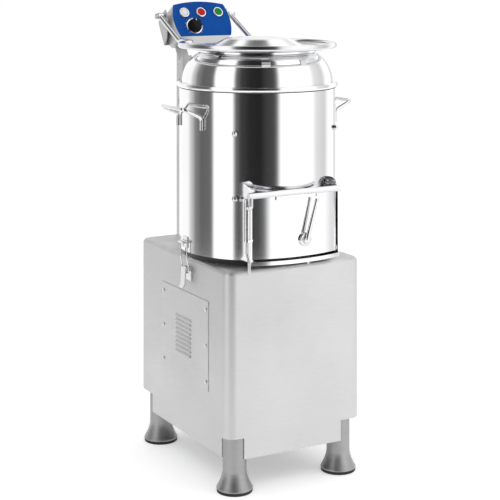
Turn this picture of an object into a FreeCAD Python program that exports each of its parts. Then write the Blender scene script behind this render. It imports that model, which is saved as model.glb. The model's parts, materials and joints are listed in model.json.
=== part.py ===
"""Floor-standing electric potato peeler on a sheet cabinet, millimetres, +Z up, front towards -Y."""
import FreeCAD, Part
import math
import os

V = FreeCAD.Vector
X_AXIS = V(1, 0, 0)
Y_AXIS = V(0, 1, 0)
Z_AXIS = V(0, 0, 1)

# Clearances
FACE_GAP = 0.3
RUN_GAP = 0.05
HOLE_GAP = 0.3

# Cabinet
CAB_WIDTH = 361.0
CAB_FRONT = 183.0
CAB_REAR = 292.0
CAB_BOTTOM = 133.0
CAB_HEIGHT = 378.0
CAB_WALL = 2.0
CAB_CORNER_R = 26.0
CAB_TOP_R = 9.0
SKIRT_INSET = 12.0
SKIRT_DROP = 55.0
SKIRT_WALL = 2.0
SKIRT_END = 10.0

# Legs
LEG_R = 27.5
LEG_INSET = 40.0
LEG_FLARE_R = 42.0
LEG_FLARE_H = 40.0
LEG_FLARE_STEPS = 8
FOOT_PAD_H = 7.0

# Side access panel
PANEL_FRONT = -90.0
PANEL_LENGTH = 249.0
PANEL_BOTTOM = 218.0
PANEL_HEIGHT = 209.0
PANEL_SHEET = 1.5
LOUVRE_COUNT = 9
LOUVRE_PITCH = 10.5
LOUVRE_LENGTH = 77.0
LOUVRE_FRONT = 0.0
LOUVRE_BOTTOM = 275.0
LOUVRE_OUT = 3.5
SCREW_R = 4.0

# Peeling drum
DRUM_R = 190.0
DRUM_WALL = 2.0
DRUM_HEIGHT = 386.0
DRUM_FLOOR = 3.0
SEAT_HEIGHT = 16.0
SEAT_R = DRUM_R - 14.0
SEAT_BAND = 26.0
BEAD_R = DRUM_R + 7.0
BEAD_HEIGHT = 12.0
LEDGE_R = DRUM_R - 10.0
LEDGE_HEIGHT = 3.0
SHELL_R = DRUM_R - 6.0
SHELL_SHEET = 2.0
SHELL_ARC_R = 80.0
SHELL_RISE = BEAD_HEIGHT - 3.0
NECK_R = 134.0
NECK_HEIGHT = 2.3
NECK_LIP = 3.0
NECK_FLANGE = 6.0
BAND_H = 4.4
GASKET_H = 3.0

# Abrasive liner and its bolts
LINER_COUNT = 4
LINER_FIRST_ANGLE = 45.0
LINER_HALF_ANGLE = 8.0
LINER_THICK = 6.0
LINER_BOTTOM = 575.0
LINER_TOP = 880.0
BOLT_HEIGHTS = (668.0, 818.0)
BOLT_R = 3.0
ACORN_R = 7.0
ACORN_H = 9.0

# Turntable and drive
TABLE_R = DRUM_R - 12.0
TABLE_THICK = 12.0
TABLE_BOTTOM = 541.0
WAVE_COUNT = 3
WAVE_HEIGHT = 12.0
WAVE_R = 34.0
WAVE_START = 22.0
WAVE_MARGIN = 14.0
HUB_RISE = 16.0
HUB_R = 32.0
SHAFT_R = 12.5
SHAFT_BOTTOM = 288.0
HOUSING_R = 33.0
HOUSING_FLANGE_R = 60.0
HOUSING_BOTTOM = 380.0
BEARING_R = 26.0
BEARING_H = 16.0
PULLEY_R = 118.0
PULLEY_H = 24.0
PULLEY_BOTTOM = 300.0
GROOVE_DEPTH = 10.0
BELT_H = 12.0
MOTOR_Y = 195.0
MOTOR_R = 72.0
MOTOR_BOTTOM = 142.0
MOTOR_PLATE = 6.0
MOTOR_PLATE_TOP = 292.0
MOTOR_PULLEY_R = 38.0
MOTOR_SHAFT_R = 10.0
MOTOR_SHAFT_IN = 30.0
TERMINAL_HALF = 30.0
TERMINAL_DROP = 80.0
TERMINAL_H = 50.0
DRAIN_X = 50.0
DRAIN_Y = 109.0
DRAIN_R = 19.0
DRAIN_TAIL_R = 20.0
DRAIN_TAIL_L = 28.0
DRAIN_WALL = 2.0
DRAIN_Z = 430.0
DRAIN_REACH = 32.0
INLET_ANGLE = 60.0
INLET_Z = 870.0
INLET_R = 10.0
INLET_TAIL_R = 9.0
INLET_TAIL_L = 26.0
INLET_REACH = 34.0

# Side handles
GRIP_ROD_R = 4.5
GRIP_X = DRUM_R + 40.0
GRIP_HALF = 62.0
GRIP_Z = 871.0
GRIP_LEG_BOTTOM = 821.0
GRIP_LEG_TOP = 850.0

# Discharge chute and door, on a flatter arc than the drum
CHUTE_LEFT = 128.0
CHUTE_RIGHT = 108.0
CHUTE_BOTTOM = 530.0
CHUTE_TOP = 706.0
CHUTE_OUT = DRUM_R + 9.0
CHUTE_BACK = DRUM_R - 60.0
CHUTE_SHEET = 2.5
CHUTE_STUD_X = 13.0
CHUTE_STUD_R = 3.0
CHUTE_STUD_H = 12.0
ARC_X = (CHUTE_RIGHT - CHUTE_LEFT) / 2
LIP_ARC_R = 340.0
LIP_OUT = DRUM_R + 31.0
LIP_SHEET = 2.0
LIP_DROP = 6.0
LIP_RISE = 3.0
PORT_MARGIN = 18.0
PORT_BOTTOM = 548.0
PORT_TOP = 668.0
DOOR_IN = 9.0
DOOR_SHEET = 2.5
DOOR_BOTTOM = 537.0
DOOR_TOP = 678.5
DOOR_SIDE_GAP = 3.0
DOOR_SEAL = 4.0
HINGE_X = -137.0
HINGE_Y = -DRUM_R - 6.0
HINGE_TUBE_R = 7.0
HINGE_PIN_R = 3.5
HINGE_TUBE_BOTTOM = 585.0
HINGE_TUBE_TOP = 669.0
HINGE_PIN_BOTTOM = 507.0
EAR_H = 5.0
BAR_R = 7.0
BAR_Y = -DRUM_R - 24.0
BAR_Z = 686.0
BAR_RIGHT = CHUTE_RIGHT - 8.0
LUG_HALF = 9.0
LUG_SHEET = 3.0
LEVER_X = 6.0
LEVER_Z = 575.0
LEVER_LENGTH = 97.0
LEVER_LEAN = 16.0
LEVER_BOSS_R = 16.0
LEVER_ARM_OUT = 11.0
LEVER_ARM_R = 6.5
LEVER_TIP_R = 4.2

# Draw latches
LATCH_Y = 10.0
LATCH_PLATE_Z = 458.0
LATCH_PLATE_H = 58.0
LATCH_WIDTH = 26.0
LATCH_PIVOT_Z = 486.0
LATCH_PIVOT_OUT = 11.0
LATCH_CRANK = 8.0
LATCH_LEVER_L = 44.0
LOOP_WIRE_R = 1.6
LOOP_BAR_Z = 552.0
HOOK_GAP = 7.6

# Support post
POST_LEFT = -59.0
POST_WIDTH = 28.0
POST_DEPTH = 39.0
POST_BOTTOM = 150.0
POST_TOP = 1010.0
STAY_HEIGHTS = (851.0, 902.0)
STAY_SHEET = 4.0
STAY_H = 16.0

# Control box, laid back from the vertical
BOX_LEAN = 31.0
BOX_Y = 274.0
BOX_Z = 1022.0
BOX_HALF_FOOT = 73.0
BOX_HALF_MID = 82.0
BOX_MID_V = 45.0
BOX_SIDE_V = 92.0
BOX_CROWN_V = 101.0
BOX_DEPTH = 65.0
BOX_SHEET = 2.0
FACE_PLATE = 2.5
KEY_V = 68.0
LAMP_U = -48.0
STOP_U = 1.0
START_U = 51.0
BEZEL_R = 14.2
CAP_R = 10.0
CAP_OUT = 6.0
KEY_TRAVEL = 3.5
KNOB_U = -28.0
KNOB_V = 28.0
KNOB_R = 19.0
KNOB_H = 16.0
KNOB_RING_R = 22.5
BRACKET_SHEET = 3.0
BRACKET_U = 91.0
BRACKET_FOOT_V = 10.0
BRACKET_TOP_V = 78.0
TONGUE_FOOT_V = -34.0
GLAND_R = 9.0
GLAND_U = -45.0
GLAND_V = 22.0

# Lid
LID_R = 158.0
LID_RIM_H = 7.0
LID_CROWN_H = 21.0
LID_CROWN_R = 80.0
LID_CROWN_FOOT_R = 112.0
LID_SHEET = 2.0
HOOP_R = 187.0
HOOP_TUBE_R = 7.0
HOOP_Z = 1013.0
ARM_X = 104.0
ARM_BEND_Y = 216.0
PIVOT_Y = 335.0
PIVOT_Z = 1073.0
PIVOT_PIN_R = 4.0
TAB_ANGLES = (33.0, 147.0, 249.0, 291.0)
TAB_WIDTH = 26.0
TAB_SHEET = 4.0

# Derived places
CAB_TOP = CAB_BOTTOM + CAB_HEIGHT
CAB_HALF = CAB_WIDTH / 2
DRUM_BOTTOM = CAB_TOP + SEAT_HEIGHT
DRUM_TOP = DRUM_BOTTOM + DRUM_HEIGHT
BEAD_TOP = DRUM_TOP + BEAD_HEIGHT
SHELL_FOOT = DRUM_TOP + LEDGE_HEIGHT
SHELL_CENTRE_R = SHELL_R - SHELL_ARC_R
SHELL_SPRING = SHELL_FOOT + SHELL_RISE
NECK_FOOT = SHELL_SPRING + math.sqrt(SHELL_ARC_R ** 2 - (NECK_R - SHELL_CENTRE_R) ** 2)
NECK_TOP = NECK_FOOT + NECK_HEIGHT
LID_FOOT = NECK_TOP + GASKET_H
BELT_IN = GROOVE_DEPTH - 0.5
BELT_OUT = 1.5
FOOT_REACH = CAB_FRONT - LEG_INSET + LEG_FLARE_R
ARC_Y = LIP_ARC_R - LIP_OUT
DOOR_ARC_R = LIP_ARC_R - DOOR_IN
LEAF_IN_R = DOOR_ARC_R - DOOR_SHEET
LEVER_FACE = ARC_Y - DOOR_ARC_R - FACE_GAP
FRONT_REACH = -LEVER_FACE + LEVER_ARM_OUT + LEVER_ARM_R
LEAN = math.radians(BOX_LEAN)
REAR_REACH = BOX_Y + BOX_DEPTH * math.cos(LEAN) + BOX_SIDE_V * math.sin(LEAN)
AXIS_Y = (FRONT_REACH - REAR_REACH) / 2


def block(x0, x1, y0, y1, z0, z1):
    """Box between two corners."""
    return Part.makeBox(x1 - x0, y1 - y0, z1 - z0, V(x0, y0, z0))


def rod(radius, start, end):
    """Round bar between two points."""
    line = end - start
    return Part.makeCylinder(radius, line.Length, start, line)


def pipe(outer, inner, start, end):
    """Round tube between two points."""
    return rod(outer, start, end).cut(rod(inner, start, end))


def ring(outer, inner, z0, z1, x=0.0, y=0.0):
    """Upright ring between two heights."""
    return pipe(outer, inner, V(x, y, z0), V(x, y, z1))


def turned(points):
    """Solid of revolution about the drum axis from (radius, height) corners."""
    corners = [V(r, 0, z) for r, z in points]
    wire = Part.makePolygon(corners + corners[:1])
    return Part.Face(wire).revolve(V(0, 0, 0), Z_AXIS, 360)


def plate(corners, direction):
    """Flat plate from a closed outline, thickened along a vector."""
    return Part.Face(Part.makePolygon(corners + corners[:1])).extrude(direction)


def joined(shapes):
    """Union of touching or crossing pieces as one solid."""
    whole = shapes[0].multiFuse(shapes[1:]).removeSplitter()
    return whole.Solids[0] if len(whole.Solids) == 1 else whole


def group(shapes):
    """Separate solids kept in one node."""
    return Part.makeCompound(shapes)


def around(shape, angle):
    """Copy turned about the drum axis."""
    copy = shape.copy()
    copy.rotate(V(0, 0, 0), Z_AXIS, angle)
    return copy


def flipped(shape):
    """Mirror copy on the other side of the middle plane."""
    return shape.mirror(V(0, 0, 0), X_AXIS)


def bent_rod(radius, points):
    """Round bar through points, with a ball at each corner."""
    pieces = [rod(radius, a, b) for a, b in zip(points, points[1:])]
    pieces += [Part.makeSphere(radius, p) for p in points[1:-1]]
    return joined(pieces)


def vertical_edges(shape):
    """Straight edges that run along Z."""
    found = []
    for edge in shape.Edges:
        a, b = edge.Vertexes[0].Point, edge.Vertexes[-1].Point
        if abs((b - a).z) > 1 and (b - a).Length - abs((b - a).z) < 1e-6:
            found.append(edge)
    return found


def edges_at(shape, z):
    """Edges that lie flat at one height."""
    return [e for e in shape.Edges if abs(e.BoundBox.ZMin - z) + abs(e.BoundBox.ZMax - z) < 1e-4]


def cabinet_body(inset):
    """Rounded upright block, drawn in by an inset on every side and at the top."""
    body = block(-CAB_HALF + inset, CAB_HALF - inset, -CAB_FRONT + inset, CAB_REAR - inset,
                 CAB_BOTTOM, CAB_TOP - inset)
    body = body.makeFillet(CAB_CORNER_R - inset, vertical_edges(body))
    return body.makeFillet(CAB_TOP_R - inset, edges_at(body, CAB_TOP - inset))


def cabinet_shell():
    """Folded sheet cabinet, open below, with holes for the shaft and the drain."""
    shell = cabinet_body(0.0).cut(cabinet_body(CAB_WALL))
    shell = shell.cut(rod(HOUSING_R + 2, V(0, 0, CAB_TOP - 20), V(0, 0, CAB_TOP + 5)))
    shell = shell.cut(rod(DRAIN_R + HOLE_GAP, V(DRAIN_X, DRAIN_Y, CAB_TOP - 20), V(DRAIN_X, DRAIN_Y, CAB_TOP + 5)))
    shell = shell.cut(rod(DRAIN_R + HOLE_GAP, V(DRAIN_X, CAB_REAR - 20, DRAIN_Z), V(DRAIN_X, CAB_REAR + 5, DRAIN_Z)))
    return shell


def base_skirt():
    """Plinth band set in below the cabinet, with a top flange under the cabinet edge."""
    x_out = CAB_HALF - SKIRT_INSET
    front = -CAB_FRONT + SKIRT_INSET
    rear = CAB_REAR - SKIRT_INSET
    low = CAB_BOTTOM - SKIRT_DROP
    band = block(-x_out, x_out, front, rear, low, CAB_BOTTOM)
    band = band.cut(block(-x_out + SKIRT_WALL, x_out - SKIRT_WALL, front + SKIRT_WALL, rear - SKIRT_WALL,
                          low, CAB_BOTTOM))
    edge = 0.5
    flange = block(-CAB_HALF + edge, CAB_HALF - edge, -CAB_FRONT + edge, CAB_REAR - edge,
                   CAB_BOTTOM - SKIRT_WALL, CAB_BOTTOM)
    flange = flange.makeFillet(CAB_CORNER_R - edge, vertical_edges(flange))
    flange = flange.cut(block(-x_out + 22, x_out - 22, front + 22, rear - 22, low, CAB_BOTTOM + 1))
    for leg_x, leg_y in leg_places():
        side = math.copysign(1, leg_x)
        end = math.copysign(1, leg_y)
        inner_x = leg_x - side * SKIRT_END
        inner_y = leg_y - end * SKIRT_END
        corner = block(min(inner_x, side * CAB_HALF), max(inner_x, side * CAB_HALF),
                       min(inner_y, inner_y + end * CAB_REAR), max(inner_y, inner_y + end * CAB_REAR),
                       low - 1, CAB_BOTTOM - SKIRT_WALL)
        band = band.cut(corner)
    skirt = joined([band, flange])
    for leg_x, leg_y in leg_places():
        skirt = skirt.cut(rod(LEG_R + HOLE_GAP, V(leg_x, leg_y, low - 1), V(leg_x, leg_y, CAB_BOTTOM - SKIRT_WALL)))
    return largest(skirt)


def largest(shape):
    """The one solid with the most material."""
    return max(shape.Solids, key=lambda solid: solid.Volume)


def leg_places():
    """Centres of the four legs."""
    x = CAB_HALF - LEG_INSET
    return [(-x, -CAB_FRONT + LEG_INSET), (x, -CAB_FRONT + LEG_INSET),
            (-x, CAB_REAR - LEG_INSET), (x, CAB_REAR - LEG_INSET)]


def leg(x, y):
    """Tubular leg that flares to a round foot."""
    top = CAB_BOTTOM - SKIRT_WALL
    outline = [(0, FOOT_PAD_H)]
    for i in range(LEG_FLARE_STEPS + 1):
        share = i / LEG_FLARE_STEPS
        radius = LEG_R + (LEG_FLARE_R - LEG_R) * (1 - share) ** 1.7
        outline.append((radius, FOOT_PAD_H + 3 + share * LEG_FLARE_H))
    outline.insert(1, (LEG_FLARE_R, FOOT_PAD_H))
    body = turned(outline + [(LEG_R, top), (0, top)])
    body.translate(V(x, y, 0))
    return body


def foot_pads():
    """Rubber pads under the legs."""
    pads = []
    for x, y in leg_places():
        pad = Part.makeCylinder(LEG_FLARE_R - 0.5, FOOT_PAD_H, V(x, y, 0))
        pads.append(pad.makeFillet(1.5, edges_at(pad, 0)))
    return group(pads)


def access_panel():
    """Service cover with a stack of pressed louvres."""
    face = -CAB_HALF
    cover = block(face - PANEL_SHEET, face, PANEL_FRONT, PANEL_FRONT + PANEL_LENGTH,
                  PANEL_BOTTOM, PANEL_BOTTOM + PANEL_HEIGHT)
    pieces = [cover]
    for row in range(LOUVRE_COUNT):
        z = LOUVRE_BOTTOM + row * LOUVRE_PITCH
        x = face - PANEL_SHEET
        corners = [V(x, LOUVRE_FRONT, z), V(x - LOUVRE_OUT, LOUVRE_FRONT, z),
                   V(x - LOUVRE_OUT, LOUVRE_FRONT, z + 1.2), V(x, LOUVRE_FRONT, z + 7.0)]
        pieces.append(plate(corners, V(0, LOUVRE_LENGTH, 0)))
    return joined(pieces)


def panel_screws():
    """Pan-head screws along the two upright edges of the cover."""
    screws = []
    x = -CAB_HALF - PANEL_SHEET
    for y in (PANEL_FRONT + 11, PANEL_FRONT + PANEL_LENGTH - 11):
        for share in (0.1, 0.5, 0.9):
            z = PANEL_BOTTOM + share * PANEL_HEIGHT
            head = rod(SCREW_R, V(x, y, z), V(x - 2.2, y, z))
            slot = block(x - 2.5, x - 1.4, y - 3, y + 3, z - 0.5, z + 0.5)
            screws.append(head.cut(slot))
    return group(screws)


def drum_seat():
    """Dark ring that carries the drum above the cabinet."""
    return ring(SEAT_R, SEAT_R - SEAT_BAND, CAB_TOP, DRUM_BOTTOM)


def port_cutter(reach):
    """Block that opens the discharge port in the drum wall."""
    return block(-CHUTE_LEFT + PORT_MARGIN, CHUTE_RIGHT - PORT_MARGIN, -reach, -CHUTE_BACK + 30,
                 PORT_BOTTOM, PORT_TOP)


def bolt_angles():
    """Plan angles of the liner strips and their bolts."""
    return [LINER_FIRST_ANGLE + i * 360.0 / LINER_COUNT for i in range(LINER_COUNT)]


def drum_shell():
    """Cylinder with a floor, a rolled bead at the top and a ledge for the dome."""
    inner = DRUM_R - DRUM_WALL
    body = turned([(HUB_R - 12, DRUM_BOTTOM), (DRUM_R, DRUM_BOTTOM), (DRUM_R, DRUM_TOP),
                   (BEAD_R, DRUM_TOP), (BEAD_R, BEAD_TOP), (SHELL_R + FACE_GAP, BEAD_TOP),
                   (SHELL_R + FACE_GAP, SHELL_FOOT), (LEDGE_R, SHELL_FOOT), (LEDGE_R, DRUM_TOP),
                   (inner, DRUM_TOP), (inner, DRUM_BOTTOM + DRUM_FLOOR), (HUB_R - 12, DRUM_BOTTOM + DRUM_FLOOR)])
    rims = [e for e in body.Edges if abs(e.BoundBox.XMax - BEAD_R) < 1e-3 and e.BoundBox.ZLength < 1e-3]
    body = body.makeFillet(BEAD_HEIGHT * 0.42, rims)
    body = body.cut(port_cutter(DRUM_R + 5))
    body = body.cut(rod(DRAIN_R - DRAIN_WALL, V(DRAIN_X, DRAIN_Y, DRUM_BOTTOM - 1),
                        V(DRAIN_X, DRAIN_Y, DRUM_BOTTOM + DRUM_FLOOR + 1)))
    hole = rod(BOLT_R + 0.2, V(DRUM_R - 20, 0, 0), V(DRUM_R + 10, 0, 0))
    for angle in bolt_angles():
        for z in BOLT_HEIGHTS:
            cutter = around(hole, angle)
            cutter.translate(V(0, 0, z))
            body = body.cut(cutter)
    inlet = around(rod(INLET_R + HOLE_GAP, V(DRUM_R - 20, 0, INLET_Z), V(DRUM_R + 10, 0, INLET_Z)), INLET_ANGLE)
    return body.cut(inlet)


def dome_cover():
    """Rounded shoulder that narrows to the flanged feed mouth."""
    def arc(radius, top_r):
        cut = math.acos((top_r - SHELL_CENTRE_R) / radius)
        point = [(SHELL_CENTRE_R + radius * math.cos(cut * s), SHELL_SPRING + radius * math.sin(cut * s))
                 for s in (0, 0.5, 1)]
        return [V(r, 0, z) for r, z in point]
    outer = arc(SHELL_ARC_R, NECK_R)
    inner = arc(SHELL_ARC_R - SHELL_SHEET, NECK_R - SHELL_SHEET)
    lip_in = NECK_R - SHELL_SHEET - NECK_LIP
    rim = NECK_R + NECK_FLANGE
    corners = [outer[2], V(rim, 0, NECK_FOOT), V(rim, 0, NECK_TOP), V(lip_in, 0, NECK_TOP),
               V(lip_in, 0, NECK_TOP - SHELL_SHEET), V(NECK_R - SHELL_SHEET, 0, NECK_TOP - SHELL_SHEET), inner[2]]
    foot = [inner[0], V(SHELL_R - SHELL_SHEET, 0, SHELL_FOOT), V(SHELL_R, 0, SHELL_FOOT), outer[0]]
    edges = [Part.Arc(*outer).toShape(), Part.Arc(*inner).toShape()]
    edges += [Part.makeLine(a, b) for run in (corners, foot) for a, b in zip(run, run[1:])]
    return Part.Face(Part.Wire(Part.__sortEdges__(edges))).revolve(V(0, 0, 0), Z_AXIS, 360)


def neck_band():
    """Clamping band round the mouth flange, with the small clip at its left."""
    rim = NECK_R + NECK_FLANGE
    band = ring(rim + 3, rim + FACE_GAP, NECK_TOP - BAND_H, NECK_TOP)
    clip = block(rim + 2.5, rim + 12, -8, 8, NECK_TOP - BAND_H + 0.3, NECK_TOP - 0.4)
    return joined([band, around(clip, 197)])


def feed_gasket():
    """Soft ring between the neck and the lid."""
    return ring(NECK_R + NECK_FLANGE - 1, NECK_R - SHELL_SHEET - NECK_LIP, NECK_TOP, LID_FOOT)


def liner_strip(angle):
    """Curved abrasive strip fixed inside the drum wall."""
    outer = DRUM_R - DRUM_WALL - FACE_GAP
    strip = Part.makeCylinder(outer, LINER_TOP - LINER_BOTTOM, V(0, 0, LINER_BOTTOM), Z_AXIS, 2 * LINER_HALF_ANGLE)
    strip = strip.cut(rod(outer - LINER_THICK, V(0, 0, LINER_BOTTOM - 1), V(0, 0, LINER_TOP + 1)))
    strip = around(strip, -LINER_HALF_ANGLE)
    for z in BOLT_HEIGHTS:
        strip = strip.cut(rod(BOLT_R + 0.2, V(outer - 20, 0, z), V(outer + 5, 0, z)))
    return around(strip, angle)


def liner_bolts():
    """Acorn nuts outside, screws through the wall and the strip, flat heads inside."""
    inside = DRUM_R - DRUM_WALL - FACE_GAP - LINER_THICK
    ball = Part.makeSphere(ACORN_R * 0.86, V(DRUM_R + 4.5, 0, 0))
    nut = joined([rod(ACORN_R, V(DRUM_R + 0.4, 0, 0), V(DRUM_R + 5, 0, 0)), ball.cut(
        block(DRUM_R - 10, DRUM_R + 4.5, -20, 20, -20, 20))])
    shank = rod(BOLT_R, V(inside - 1, 0, 0), V(DRUM_R + 3, 0, 0))
    head = rod(ACORN_R - 1, V(inside - 2.5, 0, 0), V(inside - 0.3, 0, 0))
    bolt = joined([nut, shank, head])
    bolts = []
    for angle in bolt_angles():
        for z in BOLT_HEIGHTS:
            copy = around(bolt, angle)
            copy.translate(V(0, 0, z))
            bolts.append(copy)
    return group(bolts)


def turntable():
    """Abrasive disc with rounded radial waves that throw the load outwards."""
    top = TABLE_BOTTOM + TABLE_THICK
    disc = Part.makeCylinder(TABLE_R, TABLE_THICK, V(0, 0, TABLE_BOTTOM))
    middle = top + WAVE_HEIGHT - WAVE_R
    wave = rod(WAVE_R, V(WAVE_START, 0, middle), V(TABLE_R - WAVE_MARGIN, 0, middle))
    wave = wave.cut(block(0, TABLE_R, -WAVE_R, WAVE_R, middle - WAVE_R - 1, TABLE_BOTTOM + TABLE_THICK / 2))
    hub = Part.makeCylinder(HUB_R, TABLE_THICK + HUB_RISE, V(0, 0, TABLE_BOTTOM))
    body = joined([disc, hub] + [around(wave, 90 + i * 360.0 / WAVE_COUNT) for i in range(WAVE_COUNT)])
    return body.cut(rod(SHAFT_R + RUN_GAP, V(0, 0, TABLE_BOTTOM - 1), V(0, 0, top + 60)))


def hub_cap():
    """Domed nut that holds the turntable on its shaft."""
    foot = TABLE_BOTTOM + TABLE_THICK + HUB_RISE
    cap = Part.makeCone(24, 15, 14, V(0, 0, foot))
    return cap.cut(rod(SHAFT_R + RUN_GAP, V(0, 0, foot - 1), V(0, 0, foot + 8)))


def main_shaft():
    """Upright shaft from the driven pulley to the turntable."""
    return rod(SHAFT_R, V(0, 0, SHAFT_BOTTOM), V(0, 0, TABLE_BOTTOM + TABLE_THICK + HUB_RISE + 6))


def bearing_places():
    """Heights of the two bearing races in the housing."""
    return (HOUSING_BOTTOM + 4, CAB_TOP - CAB_WALL - 4 - BEARING_H)


def bearing_housing():
    """Flanged barrel under the cabinet top that carries the two bearings."""
    top = CAB_TOP - CAB_WALL
    barrel = Part.makeCylinder(HOUSING_R, top - HOUSING_BOTTOM, V(0, 0, HOUSING_BOTTOM))
    flange = Part.makeCylinder(HOUSING_FLANGE_R, 10, V(0, 0, top - 10))
    body = joined([barrel, flange]).cut(rod(SHAFT_R + 3, V(0, 0, HOUSING_BOTTOM - 1), V(0, 0, top + 1)))
    for z in bearing_places():
        body = body.cut(rod(BEARING_R, V(0, 0, z), V(0, 0, z + BEARING_H)))
    return body


def bearings():
    """Two ball races shown as plain rings."""
    outer = BEARING_R - RUN_GAP
    return [ring(outer, SHAFT_R + RUN_GAP, z + 0.1, z + BEARING_H - 0.1) for z in bearing_places()]


def shaft_seal():
    """Lip seal where the shaft enters the drum."""
    hole = HUB_R - 12
    collar = ring(hole + 6, SHAFT_R + 0.3, DRUM_BOTTOM + DRUM_FLOOR, DRUM_BOTTOM + DRUM_FLOOR + 4)
    sleeve = ring(hole - FACE_GAP, SHAFT_R + 0.3, DRUM_BOTTOM - 6, DRUM_BOTTOM + DRUM_FLOOR)
    return joined([collar, sleeve])


def grooved_pulley(radius, bore, x, y):
    """Wheel with one belt groove."""
    mid = PULLEY_BOTTOM + PULLEY_H / 2
    wheel = ring(radius, bore, PULLEY_BOTTOM, PULLEY_BOTTOM + PULLEY_H, x, y)
    half = BELT_H / 2 + 0.5
    return wheel.cut(ring(radius + 1, radius - GROOVE_DEPTH, mid - half, mid + half, x, y))


def driven_pulley():
    """Large pulley on the turntable shaft, lightened by round holes."""
    wheel = grooved_pulley(PULLEY_R, SHAFT_R + RUN_GAP, 0, 0)
    hole = rod(20, V(PULLEY_R * 0.55, 0, PULLEY_BOTTOM - 1), V(PULLEY_R * 0.55, 0, PULLEY_BOTTOM + PULLEY_H + 1))
    for i in range(5):
        wheel = wheel.cut(around(hole, i * 72))
    return wheel


def motor_shaft():
    """Motor shaft with the small pulley on it."""
    top = PULLEY_BOTTOM + PULLEY_H + 6
    shaft = rod(MOTOR_SHAFT_R, V(0, MOTOR_Y, MOTOR_PLATE_TOP - MOTOR_SHAFT_IN), V(0, MOTOR_Y, top))
    return joined([shaft, grooved_pulley(MOTOR_PULLEY_R, MOTOR_SHAFT_R - 1, 0, MOTOR_Y)])


def loop_face(r1, r2, z):
    """Filled outline of two circles and the straight runs that touch both."""
    tilt = math.asin((r1 - r2) / MOTOR_Y)
    near = [V(s * r1 * math.cos(tilt), r1 * math.sin(tilt), z) for s in (1, -1)]
    far = [V(s * r2 * math.cos(tilt), MOTOR_Y + r2 * math.sin(tilt), z) for s in (1, -1)]
    edges = [Part.Arc(near[0], V(0, -r1, z), near[1]).toShape(), Part.makeLine(near[1], far[1]),
             Part.Arc(far[1], V(0, MOTOR_Y + r2, z), far[0]).toShape(), Part.makeLine(far[0], near[0])]
    return Part.Face(Part.Wire(edges))


def drive_belt():
    """Belt round both pulleys, lying in their grooves."""
    low = PULLEY_BOTTOM + (PULLEY_H - BELT_H) / 2
    outer = loop_face(PULLEY_R - BELT_OUT, MOTOR_PULLEY_R - BELT_OUT, low).extrude(V(0, 0, BELT_H))
    inner = loop_face(PULLEY_R - BELT_IN, MOTOR_PULLEY_R - BELT_IN, low).extrude(V(0, 0, BELT_H))
    return outer.cut(inner)


def motor_plate():
    """Shelf across the cabinet that the motor hangs from."""
    edge = CAB_HALF - CAB_WALL - FACE_GAP
    rear = CAB_REAR - CAB_WALL - FACE_GAP
    shelf = block(-edge, edge, MOTOR_Y - MOTOR_R - 15, rear, MOTOR_PLATE_TOP - MOTOR_PLATE, MOTOR_PLATE_TOP)
    shelf = shelf.cut(rod(MOTOR_SHAFT_R + 4, V(0, MOTOR_Y, MOTOR_PLATE_TOP - MOTOR_PLATE - 1),
                          V(0, MOTOR_Y, MOTOR_PLATE_TOP + 1)))
    corner = shelf.makeFillet(CAB_CORNER_R, [e for e in vertical_edges(shelf) if e.BoundBox.YMin > rear - 1])
    return corner


def motor_body():
    """Finned motor with its end bells and terminal box."""
    top = MOTOR_PLATE_TOP - MOTOR_PLATE
    core = Part.makeCylinder(MOTOR_R - 6, top - MOTOR_BOTTOM, V(0, MOTOR_Y, MOTOR_BOTTOM))
    bells = [Part.makeCylinder(MOTOR_R, 16, V(0, MOTOR_Y, top - 16)),
             Part.makeCylinder(MOTOR_R, 22, V(0, MOTOR_Y, MOTOR_BOTTOM))]
    fins = []
    for i in range(24):
        fin = block(MOTOR_R - 8, MOTOR_R, -1.5, 1.5, MOTOR_BOTTOM + 22, top - 16)
        fin = around(fin, i * 15)
        fin.translate(V(0, MOTOR_Y, 0))
        fins.append(fin)
    terminal = block(MOTOR_R - 12, MOTOR_R + TERMINAL_HALF, MOTOR_Y - TERMINAL_HALF, MOTOR_Y + TERMINAL_HALF,
                     top - TERMINAL_DROP, top - TERMINAL_DROP + TERMINAL_H)
    body = joined([core, terminal] + bells + fins)
    bore_end = MOTOR_PLATE_TOP - MOTOR_SHAFT_IN - 0.2
    return body.cut(rod(MOTOR_SHAFT_R + RUN_GAP, V(0, MOTOR_Y, bore_end), V(0, MOTOR_Y, top + 1)))


def drain_pipe():
    """Waste pipe from the drum floor down and out through the rear wall."""
    top = V(DRAIN_X, DRAIN_Y, DRUM_BOTTOM)
    turn = V(DRAIN_X, DRAIN_Y, DRAIN_Z)
    end = V(DRAIN_X, CAB_REAR + DRAIN_REACH, DRAIN_Z)
    tail = rod(DRAIN_TAIL_R, end - V(0, DRAIN_TAIL_L, 0), end)
    outer = joined([rod(DRAIN_R, turn, top), Part.makeSphere(DRAIN_R, turn), rod(DRAIN_R, turn, end), tail])
    bore = DRAIN_R - DRAIN_WALL
    inner = joined([rod(bore, turn, top + V(0, 0, 1)), Part.makeSphere(bore, turn), rod(bore, turn, end + V(0, 1, 0))])
    return outer.cut(inner)


def water_inlet():
    """Threaded stub for the water hose, with its lock nut."""
    start = V(DRUM_R - DRUM_WALL - 6, 0, INLET_Z)
    end = V(DRUM_R + INLET_REACH, 0, INLET_Z)
    root = end - V(INLET_TAIL_L, 0, 0)
    stub = joined([rod(INLET_R, start, root), rod(INLET_TAIL_R, root, end)])
    nut = rod(INLET_R + 6, V(DRUM_R + 0.4, 0, INLET_Z), V(DRUM_R + 6, 0, INLET_Z))
    body = joined([stub, nut]).cut(rod(INLET_R - 3, start - V(1, 0, 0), end + V(1, 0, 0)))
    return around(body, INLET_ANGLE)


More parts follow.
